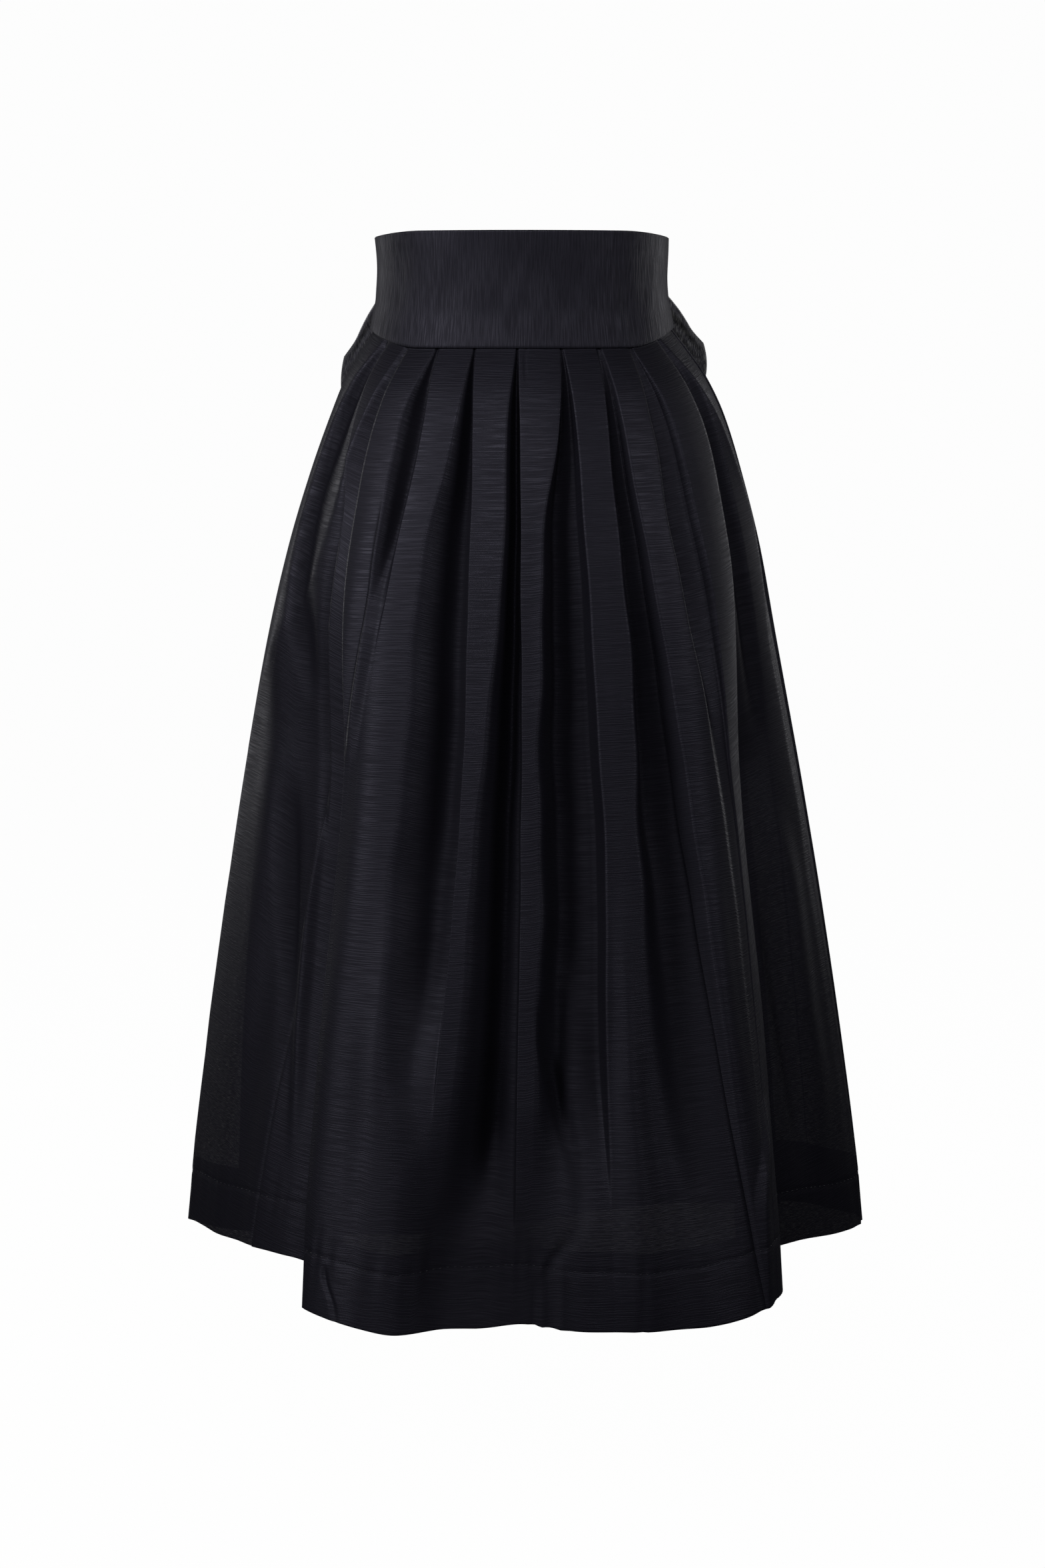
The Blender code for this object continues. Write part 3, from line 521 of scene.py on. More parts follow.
# ---------------------------------------------------------------- meshes
@dataclass
class Grid:
    """A sheet of cloth as rows of points, with two maps of its surface."""

    points: np.ndarray                   # rows x columns x 3
    places: np.ndarray | None = None     # rows x columns x 2: turns round the body, painted shade in the folds
    upright: bool = False                # the threads run straight up, whatever the rows' own lengths

    def threads(self) -> np.ndarray:
        """Metres run along the rows and down the columns at each point.

        Returns:
            The two lengths of each point.
        """
        along = self.run_length(1)
        if self.upright:
            along = np.broadcast_to(along.mean(axis=0), along.shape)
        return np.stack([along, self.run_length(0)], axis=-1)

    def run_length(self, axis: int) -> np.ndarray:
        """Metres run along the rows (axis 1) or down the columns (axis 0)."""
        steps = np.linalg.norm(np.diff(self.points, axis=axis), axis=2)
        return np.insert(np.cumsum(steps, axis=axis), 0, 0.0, axis=axis)

    def mesh(self, name: str) -> bpy.types.Mesh:
        """Mesh of the sheet, facing a viewer who sees its columns left to right.

        Args:
            name: the mesh's name.

        Returns:
            A mesh with its maps as UV layers.
        """
        rows, columns = self.points.shape[:2]
        index = np.arange(rows * columns).reshape(rows, columns)
        quads = np.stack([index[:-1, :-1], index[1:, :-1], index[1:, 1:], index[:-1, 1:]], axis=-1)
        quads = quads.reshape(-1, 4)
        mesh = bpy.data.meshes.new(name)
        mesh.from_pydata(self.points.reshape(-1, 3).tolist(), [], quads.tolist())
        places = self.places if self.places is not None else self.threads() * 0.0
        for title, values in (("Threads", self.threads()), ("Places", places)):
            layer = mesh.uv_layers.new(name=title)
            corners = values.reshape(-1, 2)[quads.reshape(-1)]
            layer.data.foreach_set("uv", corners.astype(np.float32).ravel())
        mesh.shade_smooth()
        mesh.update()
        return mesh


def add_object(name: str, mesh: bpy.types.Mesh) -> bpy.types.Object:
    """Show a mesh as a new object in the scene.

    Args:
        name: the object's name.
        mesh: its mesh.

    Returns:
        The object.
    """
    thing = bpy.data.objects.new(name, mesh)
    bpy.context.scene.collection.objects.link(thing)
    return thing


def meshed(work: bmesh.types.BMesh, mesh: bpy.types.Mesh) -> bpy.types.Mesh:
    """Turn the faces of a finished work mesh outwards and keep it as a mesh.

    Args:
        work: the work mesh, which is freed.
        mesh: the mesh that takes it.

    Returns:
        The mesh.
    """
    bmesh.ops.recalc_face_normals(work, faces=work.faces[:])
    work.to_mesh(mesh)
    work.free()
    return mesh


def dress_piece(piece: bpy.types.Object, cloth: bpy.types.Material, node: str) -> None:
    """Give a piece its cloth, hang it on what carries it, and hide the solid that it stands for.

    Args:
        piece: the piece.
        cloth: its material.
        node: the solid that it stands for.
    """
    piece.data.materials.append(cloth)
    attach(piece, BODY)
    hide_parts(node)


# ---------------------------------------------------------------- shader maths
class Value:
    """One output of a shader graph, with the operators of ordinary arithmetic."""

    def __init__(self, graph: "Graph", socket: bpy.types.NodeSocket) -> None:
        """Wrap a socket of a graph."""
        self.graph = graph
        self.socket = socket

    def __add__(self, other: "Value | float") -> "Value":
        """The sum."""
        return self.graph.maths("ADD", self, other)

    __radd__ = __add__

    def __mul__(self, other: "Value | float") -> "Value":
        """The product."""
        return self.graph.maths("MULTIPLY", self, other)

    __rmul__ = __mul__

    def __sub__(self, other: "Value | float") -> "Value":
        """The difference."""
        return self.graph.maths("SUBTRACT", self, other)

    def __rsub__(self, other: "Value | float") -> "Value":
        """The difference, taken from a number."""
        return self.graph.maths("SUBTRACT", other, self)


@dataclass
class Graph:
    """The nodes of one new material, round its Principled shader."""

    name: str

    def __post_init__(self) -> None:
        """Make the material."""
        self.material = bpy.data.materials.new(self.name)
        self.material.use_nodes = True
        self.tree = self.material.node_tree

    def feed(self, socket: bpy.types.NodeSocket, value: object) -> None:
        """Link a value of the graph to a socket, or set the socket to a number or colour.

        Args:
            socket: the socket.
            value: what it takes.
        """
        if isinstance(value, Value):
            self.tree.links.new(value.socket, socket)
        else:
            socket.default_value = value

    def finished(self, sockets: dict[str, object]) -> bpy.types.Material:
        """Feed the shader and hand over the material.

        Args:
            sockets: values or links of the shader's inputs, by name.

        Returns:
            The material.
        """
        shader = self.tree.nodes["Principled BSDF"]
        for name, value in sockets.items():
            self.feed(shader.inputs[name], value)
        return self.material

    def node(self, kind: str, settings: dict[str, object], sockets: dict[str | int, object],
             output: str | int = 0) -> Value:
        """Add a node.

        Args:
            kind: the node's type.
            settings: properties, which are set first; "stops" sets a colour ramp's stops.
            sockets: values or links of its inputs, by name or number.
            output: which of its outputs is asked for.

        Returns:
            That output.
        """
        node = self.tree.nodes.new(kind)
        for name, value in settings.items():
            if name == "stops":
                for number, (place, shade) in enumerate(value):
                    stop = node.color_ramp.elements[number] if number < 2 else \
                        node.color_ramp.elements.new(place)
                    stop.position = place
                    stop.color = (shade, shade, shade, 1.0)
            else:
                setattr(node, name, value)
        for name, value in sockets.items():
            self.feed(node.inputs[name], value)
        return Value(self, node.outputs[output])

    def maths(self, operation: str, first: "Value | float", second: "Value | float") -> Value:
        """A Math node's result."""
        return self.node("ShaderNodeMath", {"operation": operation}, {0: first, 1: second})

    def shades(self, factor: Value, first: tuple[float, ...], second: tuple[float, ...]) -> Value:
        """A colour between two, by a factor."""
        return self.node("ShaderNodeMix", {"data_type": "RGBA"},
                         {0: factor, 6: (*first, 1.0), 7: (*second, 1.0)}, 2)

    def mapped(self, title: str, scale: tuple[float, float, float]) -> Value:
        """One of the cloth's maps, scaled along each way."""
        place = self.node("ShaderNodeUVMap", {"uv_map": title}, {})
        return self.node("ShaderNodeVectorMath", {"operation": "MULTIPLY"}, {0: place, 1: scale})

    def part(self, vector: Value, number: int) -> Value:
        """One part of a vector: 0, 1 or 2."""
        return self.node("ShaderNodeSeparateXYZ", {}, {0: vector}, number)

    def noise(self, where: Value, detail: float) -> Value:
        """Cloudy noise at some coordinates, from 0 to 1."""
        return self.node("ShaderNodeTexNoise", {"noise_dimensions": "2D"},
                         {"Vector": where, "Scale": 1.0, "Detail": detail, "Roughness": 0.5})

    def stepped(self, value: Value, stops: list[tuple[float, float]]) -> Value:
        """A value passed through a ramp of grey stops."""
        return self.node("ShaderNodeValToRGB", {"stops": stops}, {0: value})


# ---------------------------------------------------------------- finishes
class Grain(Enum):
    """Which way the cloth's slubs run, in its thread coordinates."""

    ACROSS = (0, 1)
    UPRIGHT = (1, 0)


@dataclass(frozen=True)
class TaffetaFinish:
    """Semi-sheer satin taffeta with slubs, and painted shade in its folds."""

    name: str
    grain: Grain = Grain.ACROSS
    deep: tuple[float, float, float] = (0.0020, 0.0018, 0.0034)
    light: tuple[float, float, float] = (0.0100, 0.0095, 0.0140)
    sheen_tint: tuple[float, float, float] = (0.80, 0.78, 1.0)
    roughness: float = 0.50
    cover: float = 0.9975
    side_cover: float | None = None          # cover from the right side round to the back
    side_from: tuple[float, float] = (50.0, 66.0)   # bearings between which it changes to that
    slub_length: float = 0.030
    slub_height: float = 0.0010
    thread_length: float = 0.0060
    thread_height: float = 0.0008
    relief: float = 0.34
    relief_depth: float = 0.0004
    contrast: float = 0.55         # how much the slubs show in the colour
    thread_contrast: float = 0.25
    cloud_contrast: float = 0.2
    painted_shade_strength: float = 0.85        # how much painted shade darkens the cloth well inside a fold, and how much closer it is there
    fold_dull: float = 0.25        # and how much duller
    slub_gloss: float = 0.16       # how much smoother a slub is than the ground
    cloud_gloss: float = 0.10

    def marks(self, graph: Graph, length: float, height: float, detail: float) -> Value:
        """Marks along the grain.

        Args:
            graph: the material's nodes.
            length: a mark's length, in metres.
            height: its height across the grain.
            detail: how ragged it is.

        Returns:
            Their strength, from 0 to 1.
        """
        along, over = self.grain.value
        sizes = (1.0 / length, 1.0 / height)
        return graph.noise(graph.mapped("Threads", (sizes[along], sizes[over], 1.0)), detail)

    def material(self) -> bpy.types.Material:
        """Build the finish.

        Returns:
            A material whose colour, gloss, relief and cover follow the weave, with painted shade in its
            colour inside the folds, where it is also duller and closer.
        """
        graph = Graph(self.name)
        slubs = self.marks(graph, self.slub_length, self.slub_height, 1.5)
        threads = self.marks(graph, self.thread_length, self.thread_height, 1.0)
        clouds = graph.noise(graph.mapped("Threads", (14.0, 9.0, 1.0)), 3.0)
        slubs = graph.stepped(slubs, [(0.36, 0.0), (0.5, 0.42), (0.64, 1.0)])
        place = graph.mapped("Places", (360.0, 1.0, 0.0))
        bearing, painted_fold_shade = graph.part(place, 0), graph.part(place, 1)
        # painted shade: the colour is darkened, and the weave closed, where the fold map says the cloth
        # lies deep in a fold
        painted_shade_factor = 1.0 - painted_fold_shade * self.painted_shade_strength
        weave = slubs * self.contrast + threads * self.thread_contrast + clouds * self.cloud_contrast
        gloss = (0.5 - slubs) * self.slub_gloss + (clouds - 0.5) * self.cloud_gloss
        bump = graph.node("ShaderNodeBump", {}, {"Strength": self.relief, "Distance": self.relief_depth,
                                                 "Height": slubs * 0.6 + threads * 0.4})
        # the base colour carries the painted shade of the folds
        sockets = {
            "Base Color": graph.shades(weave * painted_shade_factor, self.deep, self.light),
            "Roughness": self.roughness + gloss + painted_fold_shade * self.fold_dull,
            "Normal": bump, "Specular IOR Level": 0.25, "Specular Tint": (*self.sheen_tint, 1.0)}
        if self.cover < 1.0:
            thin = 1.0 - self.cover
            if self.side_cover is not None:
                start, end = self.side_from
                turn = (bearing - start) * (1.0 / (end - start))
                beside = graph.stepped(turn, [(0.0, 0.0), (1.0, 1.0)])
                thin = beside * (self.cover - self.side_cover) + thin
            gaps = graph.stepped(threads, [(0.35, 0.1), (0.5, 0.4), (0.68, 1.0)])
            sockets["Alpha"] = 1.0 - (gaps * 1.7 + 0.15) * painted_shade_factor * thin
        return graph.finished(sockets)


@dataclass(frozen=True)
class ThreadFinish:
    """Twisted sewing thread, a little lighter than the cloth."""

    name: str = "navy sewing thread"
    deep: tuple[float, float, float] = (0.006, 0.006, 0.010)
    light: tuple[float, float, float] = (0.020, 0.019, 0.030)
    roughness: float = 0.45
    twist: float = 0.0006    # metres along the thread for one twist

    def material(self) -> bpy.types.Material:
        """Build the finish: a fine twist along the thread.

        Returns:
            The material.
        """
        graph = Graph(self.name)
        place = graph.node("ShaderNodeTexCoord", {}, {}, "Object")
        twists = graph.node("ShaderNodeTexNoise", {}, {"Vector": place, "Scale": 1.0 / self.twist,
                                                       "Detail": 1.0})
        return graph.finished({"Base Color": graph.shades(twists, self.deep, self.light),
                               "Roughness": self.roughness})


# ---------------------------------------------------------------- the pieces
@dataclass
class Waistband:
    """The wide stiffened band: cloth folded over its top edge, wound once and a half round the waist."""

    form: SkirtForm
    ends: tuple[float, float] = (-252.5, 262.0)   # bearings of its two ends
    top_front: float = 0.046     # height of the top edge at the front
    top_dip: float = 0.004       # how much lower it lies at the sides and back
    wall: float = 0.0025
    layer_step: float = 0.0031   # from the outer to the under layer
    top_ease: float = 0.001      # how much the top row is lowered, for a soft edge
    square: float = 2.15         # how square the oval is; 2 is round
    ups: tuple[float, ...] = (0.0, 0.14, 0.34, 0.60, 1.0)
    left: tuple[float, ...] = (.1275, .1252, .1218, .1205, .1226)
    right: tuple[float, ...] = (.1250, .1235, .1205, .1195, .1200)
    depth: tuple[float, ...] = (.0910, .0895, .0880, .0875, .0885)
    step: float = 0.9            # degrees from column to column
    creases: tuple[tuple[float, float, float, float], ...] = (   # bearing, lean, reach, millimetres
        (-62.0, 10.0, 4.0, -0.5), (-44.0, 16.0, 4.5, 0.6), (-20.0, -18.0, 4.0, -0.55),
        (-3.0, 22.0, 4.5, 0.6), (17.0, -20.0, 3.5, -0.5), (33.0, 24.0, 4.0, 0.6),
        (50.0, -12.0, 3.5, -0.6), (66.0, 12.0, 3.5, 0.6), (96.0, -14.0, 4.0, -0.5),
        (128.0, 18.0, 4.5, 0.6), (171.0, -16.0, 4.0, -0.5), (214.0, 20.0, 4.5, 0.6),
        (243.0, -14.0, 4.0, -0.5))
    waves: tuple[tuple[float, float, float, float], ...] = (   # metres, times round, drift, phase
        (0.0004, 5.0, 6.0, 0.0), (0.0003, 11.0, -4.0, 1.0))

    def top_z(self, bearing: np.ndarray) -> np.ndarray:
        """Height of the top edge."""
        return self.top_front - self.top_dip * ramp(50.0, 88.0, np.abs(turned(bearing)))

    def face(self, bearing: np.ndarray, up: float) -> np.ndarray:
        """Distance from the axis to the outer face.

        Args:
            bearing: degrees round the body.
            up: share of the band's height, from its lower edge.

        Returns:
            Metres at each bearing.
        """
        columns = (self.left, self.right, self.depth, self.depth)
        sizes = [between(self.ups, column, up) for column in columns]
        radius = oval(bearing, *sizes, self.square, self.square)
        soft = np.zeros_like(bearing)
        for size, times, drift, phase in self.waves:
            soft = soft + size * np.sin(np.radians(bearing) * times + drift * up + phase)
        for centre, lean, reach, height in self.creases:
            away = (bearing - centre - lean * (up - 0.5)) / reach
            soft = soft + 0.001 * height * np.exp(-away * away)
        return radius + soft * math.sin(math.pi * up) - self.layer_step * wound_under(bearing)

    def inner_edge(self, bearing: np.ndarray) -> np.ndarray:
        """Distance from the axis to the inner face at the band's lower edge."""
        return self.face(bearing, 0.0) - self.wall

    def grid(self) -> Grid:
        """Lay the band as one strip that runs over the top, down the outside and up the inside.

        Returns:
            The strip, each row given by its share of the height, its depth in the wall and its lift.
        """
        count = round((self.ends[1] - self.ends[0]) / self.step)
        bearing = np.linspace(*self.ends, count + 1)
        low, top = self.form.seam_z(bearing), self.top_z(bearing)
        half = self.wall / 2.0
        turns = np.radians([30.0, 60.0, 90.0, 120.0, 150.0])
        over = [(1.0, half * (1.0 - math.cos(a)), half * math.sin(a) * 0.8) for a in turns[::-1]]
        outside = [(up, 0.0, 0.0) for up in np.linspace(1.0, 0.0, 44)]
        under = [(0.0, half * (1.0 - math.cos(a)), -half * math.sin(a) * 0.5) for a in turns]
        inside = [(up, self.wall, 0.0) for up in np.linspace(0.0, 1.0, 20)]
        rows = []
        for up, depth, lift in over + outside + under + inside + over[:1]:
            height = low + (top - low) * up + lift - (self.top_ease if up == 1.0 else 0.0)
            rows.append(around(bearing, self.face(bearing, up) - depth, height))
        return Grid(np.stack(rows), upright=True)

    def build(self) -> bpy.types.Object:
        """Build the band and close its two ends.

        Returns:
            The piece.
        """
        mesh = self.grid().mesh("waistband_cloth")
        work = bmesh.new()
        work.from_mesh(mesh)
        bmesh.ops.remove_doubles(work, verts=work.verts[:], dist=1e-6)
        bmesh.ops.holes_fill(work, edges=[edge for edge in work.edges if edge.is_boundary], sides=0)
        return add_object("waistband_cloth", meshed(work, mesh))

    def dress(self, piece: bpy.types.Object, cloth: bpy.types.Material) -> None:
        dress_piece(piece, cloth, "waistband")


@dataclass
class SkirtPanel:
    """One cut panel of the skirt, with the hem turned up inside it."""

    node: str
    form: SkirtForm
    band: Waistband
    pleats: list[Pleat]
    lines: KeyLines
    flat: tuple[float, float]
    under: bool = False
    lap: tuple[Line, Line] | None = None   # where a side seam's allowance starts and ends
    lap_inset: float = 0.0006   # how far that allowance lies inside the next panel
    turn_up: float = 0.060
    fold: float = 0.0005        # half the thickness of the hem's fold
    stitch_up: float = 0.045    # height of the stitching above the hem
    dent: float = 0.0005        # how deep the stitching draws the cloth in
    dent_reach: float = 0.0022
    pucker: float = 0.00035     # height of the puckers beside the stitching
    pucker_reach: float = 0.018
    pucker_top: float = 0.075   # height above the hem at which they stop
    tuck: float = 0.006         # how far the panel reaches up inside the band
    tuck_gap: float = 0.0008    # room between it and the band's inner face
    seam_rows: int = 28         # close rows below the seam
    seam_step: float = 0.0032   # depth from one to the next
    middle_rows: int = 136
    hem_rows: int = 40
    hem_from: float = 0.915     # depth at which the rows lie close again, for the stitching

    @property
    def name(self) -> str:
        """The piece's name."""
        return f"{self.node}_cloth"

    def bearings(self, down: float) -> np.ndarray:
        """Bearings of the panel's columns.

        Args:
            down: depth along the skirt.

        Returns:
            Degrees, left to right.
        """
        columns = [self.lines[0][0](down)]
        for line, count in self.lines[1:]:
            start, end = columns[-1], line(down)
            columns += [start + (end - start) * (k + 1) / count for k in range(count)]
        if self.lap:
            seam, end = (line(down) for line in self.lap)
            columns += [seam + (end - seam) * share for share in (0.25, 0.6, 1.0)]
        return np.array(columns)

    def downs(self) -> list[float]:
        """Depths of the rows: close together at the seam and at the hem's stitching.

        Returns:
            The depths, from 0 to 1.
        """
        seam_end = (self.seam_rows - 1) * self.seam_step
        return [*np.linspace(0.0, seam_end, self.seam_rows)[:-1],
                *np.linspace(seam_end, self.hem_from, self.middle_rows)[:-1],
                *np.linspace(self.hem_from, 1.0, self.hem_rows)]

    def face(self, down: float) -> tuple[np.ndarray, np.ndarray, np.ndarray]:
        """The cloth's outer face.

        Args:
            down: depth along the skirt.

        Returns:
            Bearings, distances from the axis and heights of a row's points.
        """
        bearing = self.bearings(down)
        angle = np.radians(bearing)
        radius = self.form.radius(bearing, down, self.pleats)
        top, hem = self.form.seam_z(bearing) - SEAM_GAP, self.form.hem_z(bearing)
        height = top + (hem - top) * down
        above = height - hem
        crimp = 0.5 + 0.5 * np.sin(angle * 173.0) * np.sin(angle * 61.0 + 1.0)
        line = np.exp(-((above - self.stitch_up) / self.dent_reach) ** 2)
        radius = radius - self.dent * line * (0.55 + 0.45 * crimp)
        near = np.exp(-(np.abs(above - self.stitch_up) / self.pucker_reach)) * (above < self.pucker_top)
        radius = radius + self.pucker * near * np.sin(angle * 113.0 + 2.0 * np.sin(angle * 19.0))
        if self.under:
            radius = radius - self.form.under_inset(bearing, down)
        if self.lap:
            radius = radius - self.lap_inset * ramp(0.0, 0.12, bearing - self.lap[0](down))
        return bearing, radius, height

    def grid(self) -> Grid:
        """Lay the sheet: tucked up inside the band, down to the hem, and up again inside it.

        Returns:
            The sheet, with the map of its places.
        """
        rows, places = [], []

        def add(bearing: np.ndarray, radius: np.ndarray, height: np.ndarray, down: float) -> None:
            """Add a row of points, their places and their painted shade.

            Args:
                bearing: the points' bearings, in degrees.
                radius: their distances from the axis.
                height: their heights.
                down: their depth along the skirt.
            """
            rows.append(around(bearing, radius, height))
            # painted shade of the folds, carried to the material in the second part of the Places map
            painted_fold_shade = self.form.painted_fold_shade(bearing, down, self.pleats)
            places.append(np.stack([bearing / 360.0, painted_fold_shade], axis=-1))

        bearing, radius, height = self.face(0.0)
        inner = np.minimum(radius - SEAM_GAP, self.band.inner_edge(bearing) - self.tuck_gap)
        for share in (1.0, 0.5):
            add(bearing, radius + (inner - radius) * share, height + self.tuck * share, 0.0)
        for down in self.downs():
            add(*self.face(down), down)
        bearing, radius, height = self.face(1.0)
        for turn in np.radians([30.0, 90.0, 150.0]):
            inward, below = self.fold * (1.0 - math.cos(turn)), self.fold * math.sin(turn)
            add(bearing, radius - inward, height - below, 1.0)
        drop = float(np.mean(self.form.seam_z(bearing) - self.form.hem_z(bearing)))
        for up in np.linspace(0.0, self.turn_up, 16)[1:]:
            bearing, radius, height = self.face(1.0 - up / drop)
            add(bearing, radius - 0.0001 - 2.0 * self.fold, height, 1.0 - up / drop)
        return Grid(np.stack(rows), np.stack(places))

    def stitch_line(self) -> np.ndarray:
        """Points along the hem's stitching.

        Returns:
            The points, left to right.
        """
        faces = [self.face(down) for down in np.linspace(0.934, 0.952, 10)]
        above = np.stack([height - self.form.hem_z(bearing) for bearing, _, height in faces])
        columns = range(above.shape[1])
        figures = [[np.interp(-self.stitch_up, -above[:, column], [face[part][column] for face in faces])
                    for column in columns] for part in range(3)]
        return around(*map(np.array, figures))

    def build(self) -> bpy.types.Object:
        """Build the panel's sheet and return its piece."""
        return add_object(self.name, self.grid().mesh(self.name))

    def dress(self, piece: bpy.types.Object, cloth: bpy.types.Material,
              stitches: bpy.types.Object) -> None:
        dress_piece(piece, cloth, self.node)


@dataclass
class HemStitches:
    """The stitches that hold a panel's turned-up hem, as they show on the outside."""

    panel: SkirtPanel
    pitch: float = 0.0058       # from stitch to stitch
    length: float = 0.0024
    half_height: float = 0.00024
    off: float = 0.00022        # how proud of the cloth the thread lies
    margin: float = 0.004       # left without a stitch at either end
    taper: float = 0.35         # a stitch's size where it goes into the cloth

    def bar(self, work: bmesh.types.BMesh, start: Vector, end: Vector) -> None:
        """Add one stitch, a small tapered bar of thread.

        Args:
            work: the mesh that takes it.
            start: where it comes out of the cloth.
            end: where it goes in.
        """
        out = (end - start).normalized().cross(Vector((0.0, 0.0, 1.0))).normalized()
        rings = []
        for share in (0.0, 0.2, 0.8, 1.0):
            reach = 1.0 if 0.0 < share < 1.0 else self.taper
            centre = start.lerp(end, share) + out * (self.off * reach)
            rings.append([work.verts.new(centre + out * (self.off * reach * math.sin(turn))
                                         + Vector((0, 0, self.half_height * reach * math.cos(turn))))
                          for turn in (0.0, math.pi / 2, math.pi, 3 * math.pi / 2)])
        for ring, beyond in zip(rings, rings[1:]):
            for corner in range(4):
                after = (corner + 1) % 4
                work.faces.new((ring[corner], beyond[corner], beyond[after], ring[after]))
        work.faces.new(rings[0])
        work.faces.new(rings[-1][::-1])

    def build(self) -> bpy.types.Object:
        """Build the stitches all along the hem.

        Returns:
            One piece with all the stitches of the panel.
        """
        line = self.panel.stitch_line()
        runs = np.insert(np.cumsum(np.linalg.norm(np.diff(line, axis=0), axis=1)), 0, 0.0)
        work = bmesh.new()
        for start in np.arange(self.margin, runs[-1] - self.margin, self.pitch):
            self.bar(work, *(Vector([float(np.interp(place, runs, line[:, k])) for k in range(3)])
                             for place in (start, start + self.length)))
        name = f"{self.panel.node}_hem_stitches"
        mesh = meshed(work, bpy.data.meshes.new(name))
        mesh.shade_smooth()
        return add_object(name, mesh)

    @staticmethod
    def dress(piece: bpy.types.Object, thread: bpy.types.Material) -> None:
        """Give the stitches their thread and say what carries them."""
        piece.data.materials.append(thread)
        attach(piece, BODY)


@dataclass
class PanelSet:
    """The front panel, the outer panel on its right and the under panel on its left."""

    form: SkirtForm
    band: Waistband
    fill_step: float = 0.8      # degrees from column to column between the pleats
    outer_edge: Six = (262.0, 262.0, 261.0, 259.0, 256.5, 254.5)
    under_edge: float = -252.5

    @staticmethod
    def pleat_lines(pleat: Pleat, shares: tuple[float, ...], fine: bool = True) -> KeyLines:
        """Key lines of a pleat.

        Args:
            pleat: the pleat.
            shares: rising shares of its width at which it has lines.
            fine: whether it has more columns, as the pleats that show.

        Returns:
            The lines, left to right.
        """
        counts = {pleat.foot: 4, pleat.floor: 8 if fine else 5, 1.0: 10 if fine else 6}
        spans = [counts[share] for share in shares[1:]]
        if pleat.side is Side.LEFT:
            shares, spans = shares[::-1], spans[::-1]
        return list(zip(map(pleat.line, shares), [0] + spans))

    def chained(self, start: Line | None, runs: list[KeyLines], end: Line | None) -> KeyLines:
        """Key lines of a whole panel, with plain columns from each pleat to the next.

        Args:
            start: the panel's left edge, where it isn't its first pleat's.
            runs: the key lines of its pleats.
            end: its right edge, where it isn't its last pleat's.

        Returns:
            The lines, left to right.
        """
        if start:
            runs = [[(start, 0)], *runs]
        if end:
            runs = [*runs, [(end, 0)]]
        lines = list(runs[0])
        for run in runs[1:]:
            lines.append((run[0][0], self.fill(lines[-1][0], run[0][0])))
            lines += run[1:]
        return lines

    def fill(self, first: Line, last: Line) -> int:
        """How many plain columns lie from one line to another."""
        widest = max(last(down) - first(down) for down in (0.0, 0.22, 0.6, 1.0))
        return max(2, round(widest / self.fill_step))

    def beside_foot(self, pleat: Pleat) -> Line:
        """The edge of the panel that is sewn to the foot of a pleat's sharp edge.

        Args:
            pleat: the pleat.

        Returns:
            A line a little to the hollow's side of the foot.
        """
        foot = pleat.line(pleat.foot)

        def line(down: float) -> float:
            """The bearing at a depth."""
            width = float(self.form.filled(np.array([foot(down)]), down)[0])
            return foot(down) + pleat.side.value * math.degrees(0.0004 / width)

        return line

    def whole(self, pleats: Sequence[Pleat], fine: bool = True) -> list[KeyLines]:
        """Key lines of pleats that lie whole in a panel; a deep fold runs on past the next one.

        Args:
            pleats: the pleats.
            fine: whether they have more columns.

        Returns:
            The lines of each pleat.
        """
        runs = []
        for pleat in pleats:
            shares = (0.0, pleat.foot, pleat.floor, 1.0)
            runs.append(self.pleat_lines(pleat, shares[:-1] if "deep" in pleat.name else shares, fine))
        return runs

    def panels(self) -> list[SkirtPanel]:
        """Cut the panels.

        Returns:
            Front, outer and under panel.
        """
        form, pleats = self.form, self.form.pleats
        left_seam, right_seam = form.named("left flank"), form.named("right seam")
        seam_at = pleats.index(right_seam)
        back, turned_back = form.back_pleats(0.0), form.back_pleats(-360.0)
        left_edge, right_edge = [self.beside_foot(seam) for seam in (left_seam, right_seam)]
        front_runs = [self.pleat_lines(left_seam, (0.0, left_seam.foot)), *self.whole(pleats[1:seam_at]),
                      self.pleat_lines(right_seam, (right_seam.floor, 1.0))]
        outer_runs = [self.pleat_lines(right_seam, (0.0, right_seam.foot)),
                      *self.whole(pleats[seam_at + 1:]), *self.whole(back, False)]
        under_runs = [*self.whole(turned_back[1:], False),
                      self.pleat_lines(left_seam, (left_seam.floor, 1.0))]
        front = self.chained(None, front_runs, None)
        outer = self.chained(None, outer_runs, lambda down: between(LEVELS_AT, self.outer_edge, down))
        under = self.chained(lambda down: self.under_edge, under_runs, None)
        return [
            SkirtPanel("front_panel", form, self.band, [*pleats], front + [(right_edge, 6)],
                       flat=(0.62, 0.82), lap=(right_edge, right_seam.line(0.02))),
            SkirtPanel("back_right_panel", form, self.band, [*pleats, *back], outer, flat=(1.05, 0.86)),
            SkirtPanel("back_left_panel", form, self.band, [*pleats, *turned_back],
                       under + [(left_edge, 6)], flat=(0.75, 0.86), under=True,
                       lap=(left_edge, left_seam.line(0.02))),
        ]


@dataclass(frozen=True)
class LoopRing:
    """A line across a bow loop: its two edges, its place behind the body and the room inside."""

    top_out: float
    top_up: float
    low_out: float
    low_up: float
    behind: float
    gap: float


@dataclass(frozen=True)
class TailRing:
    """A line across a hanging end."""

    down: float
    aside: float
    behind: float
    half_width: float


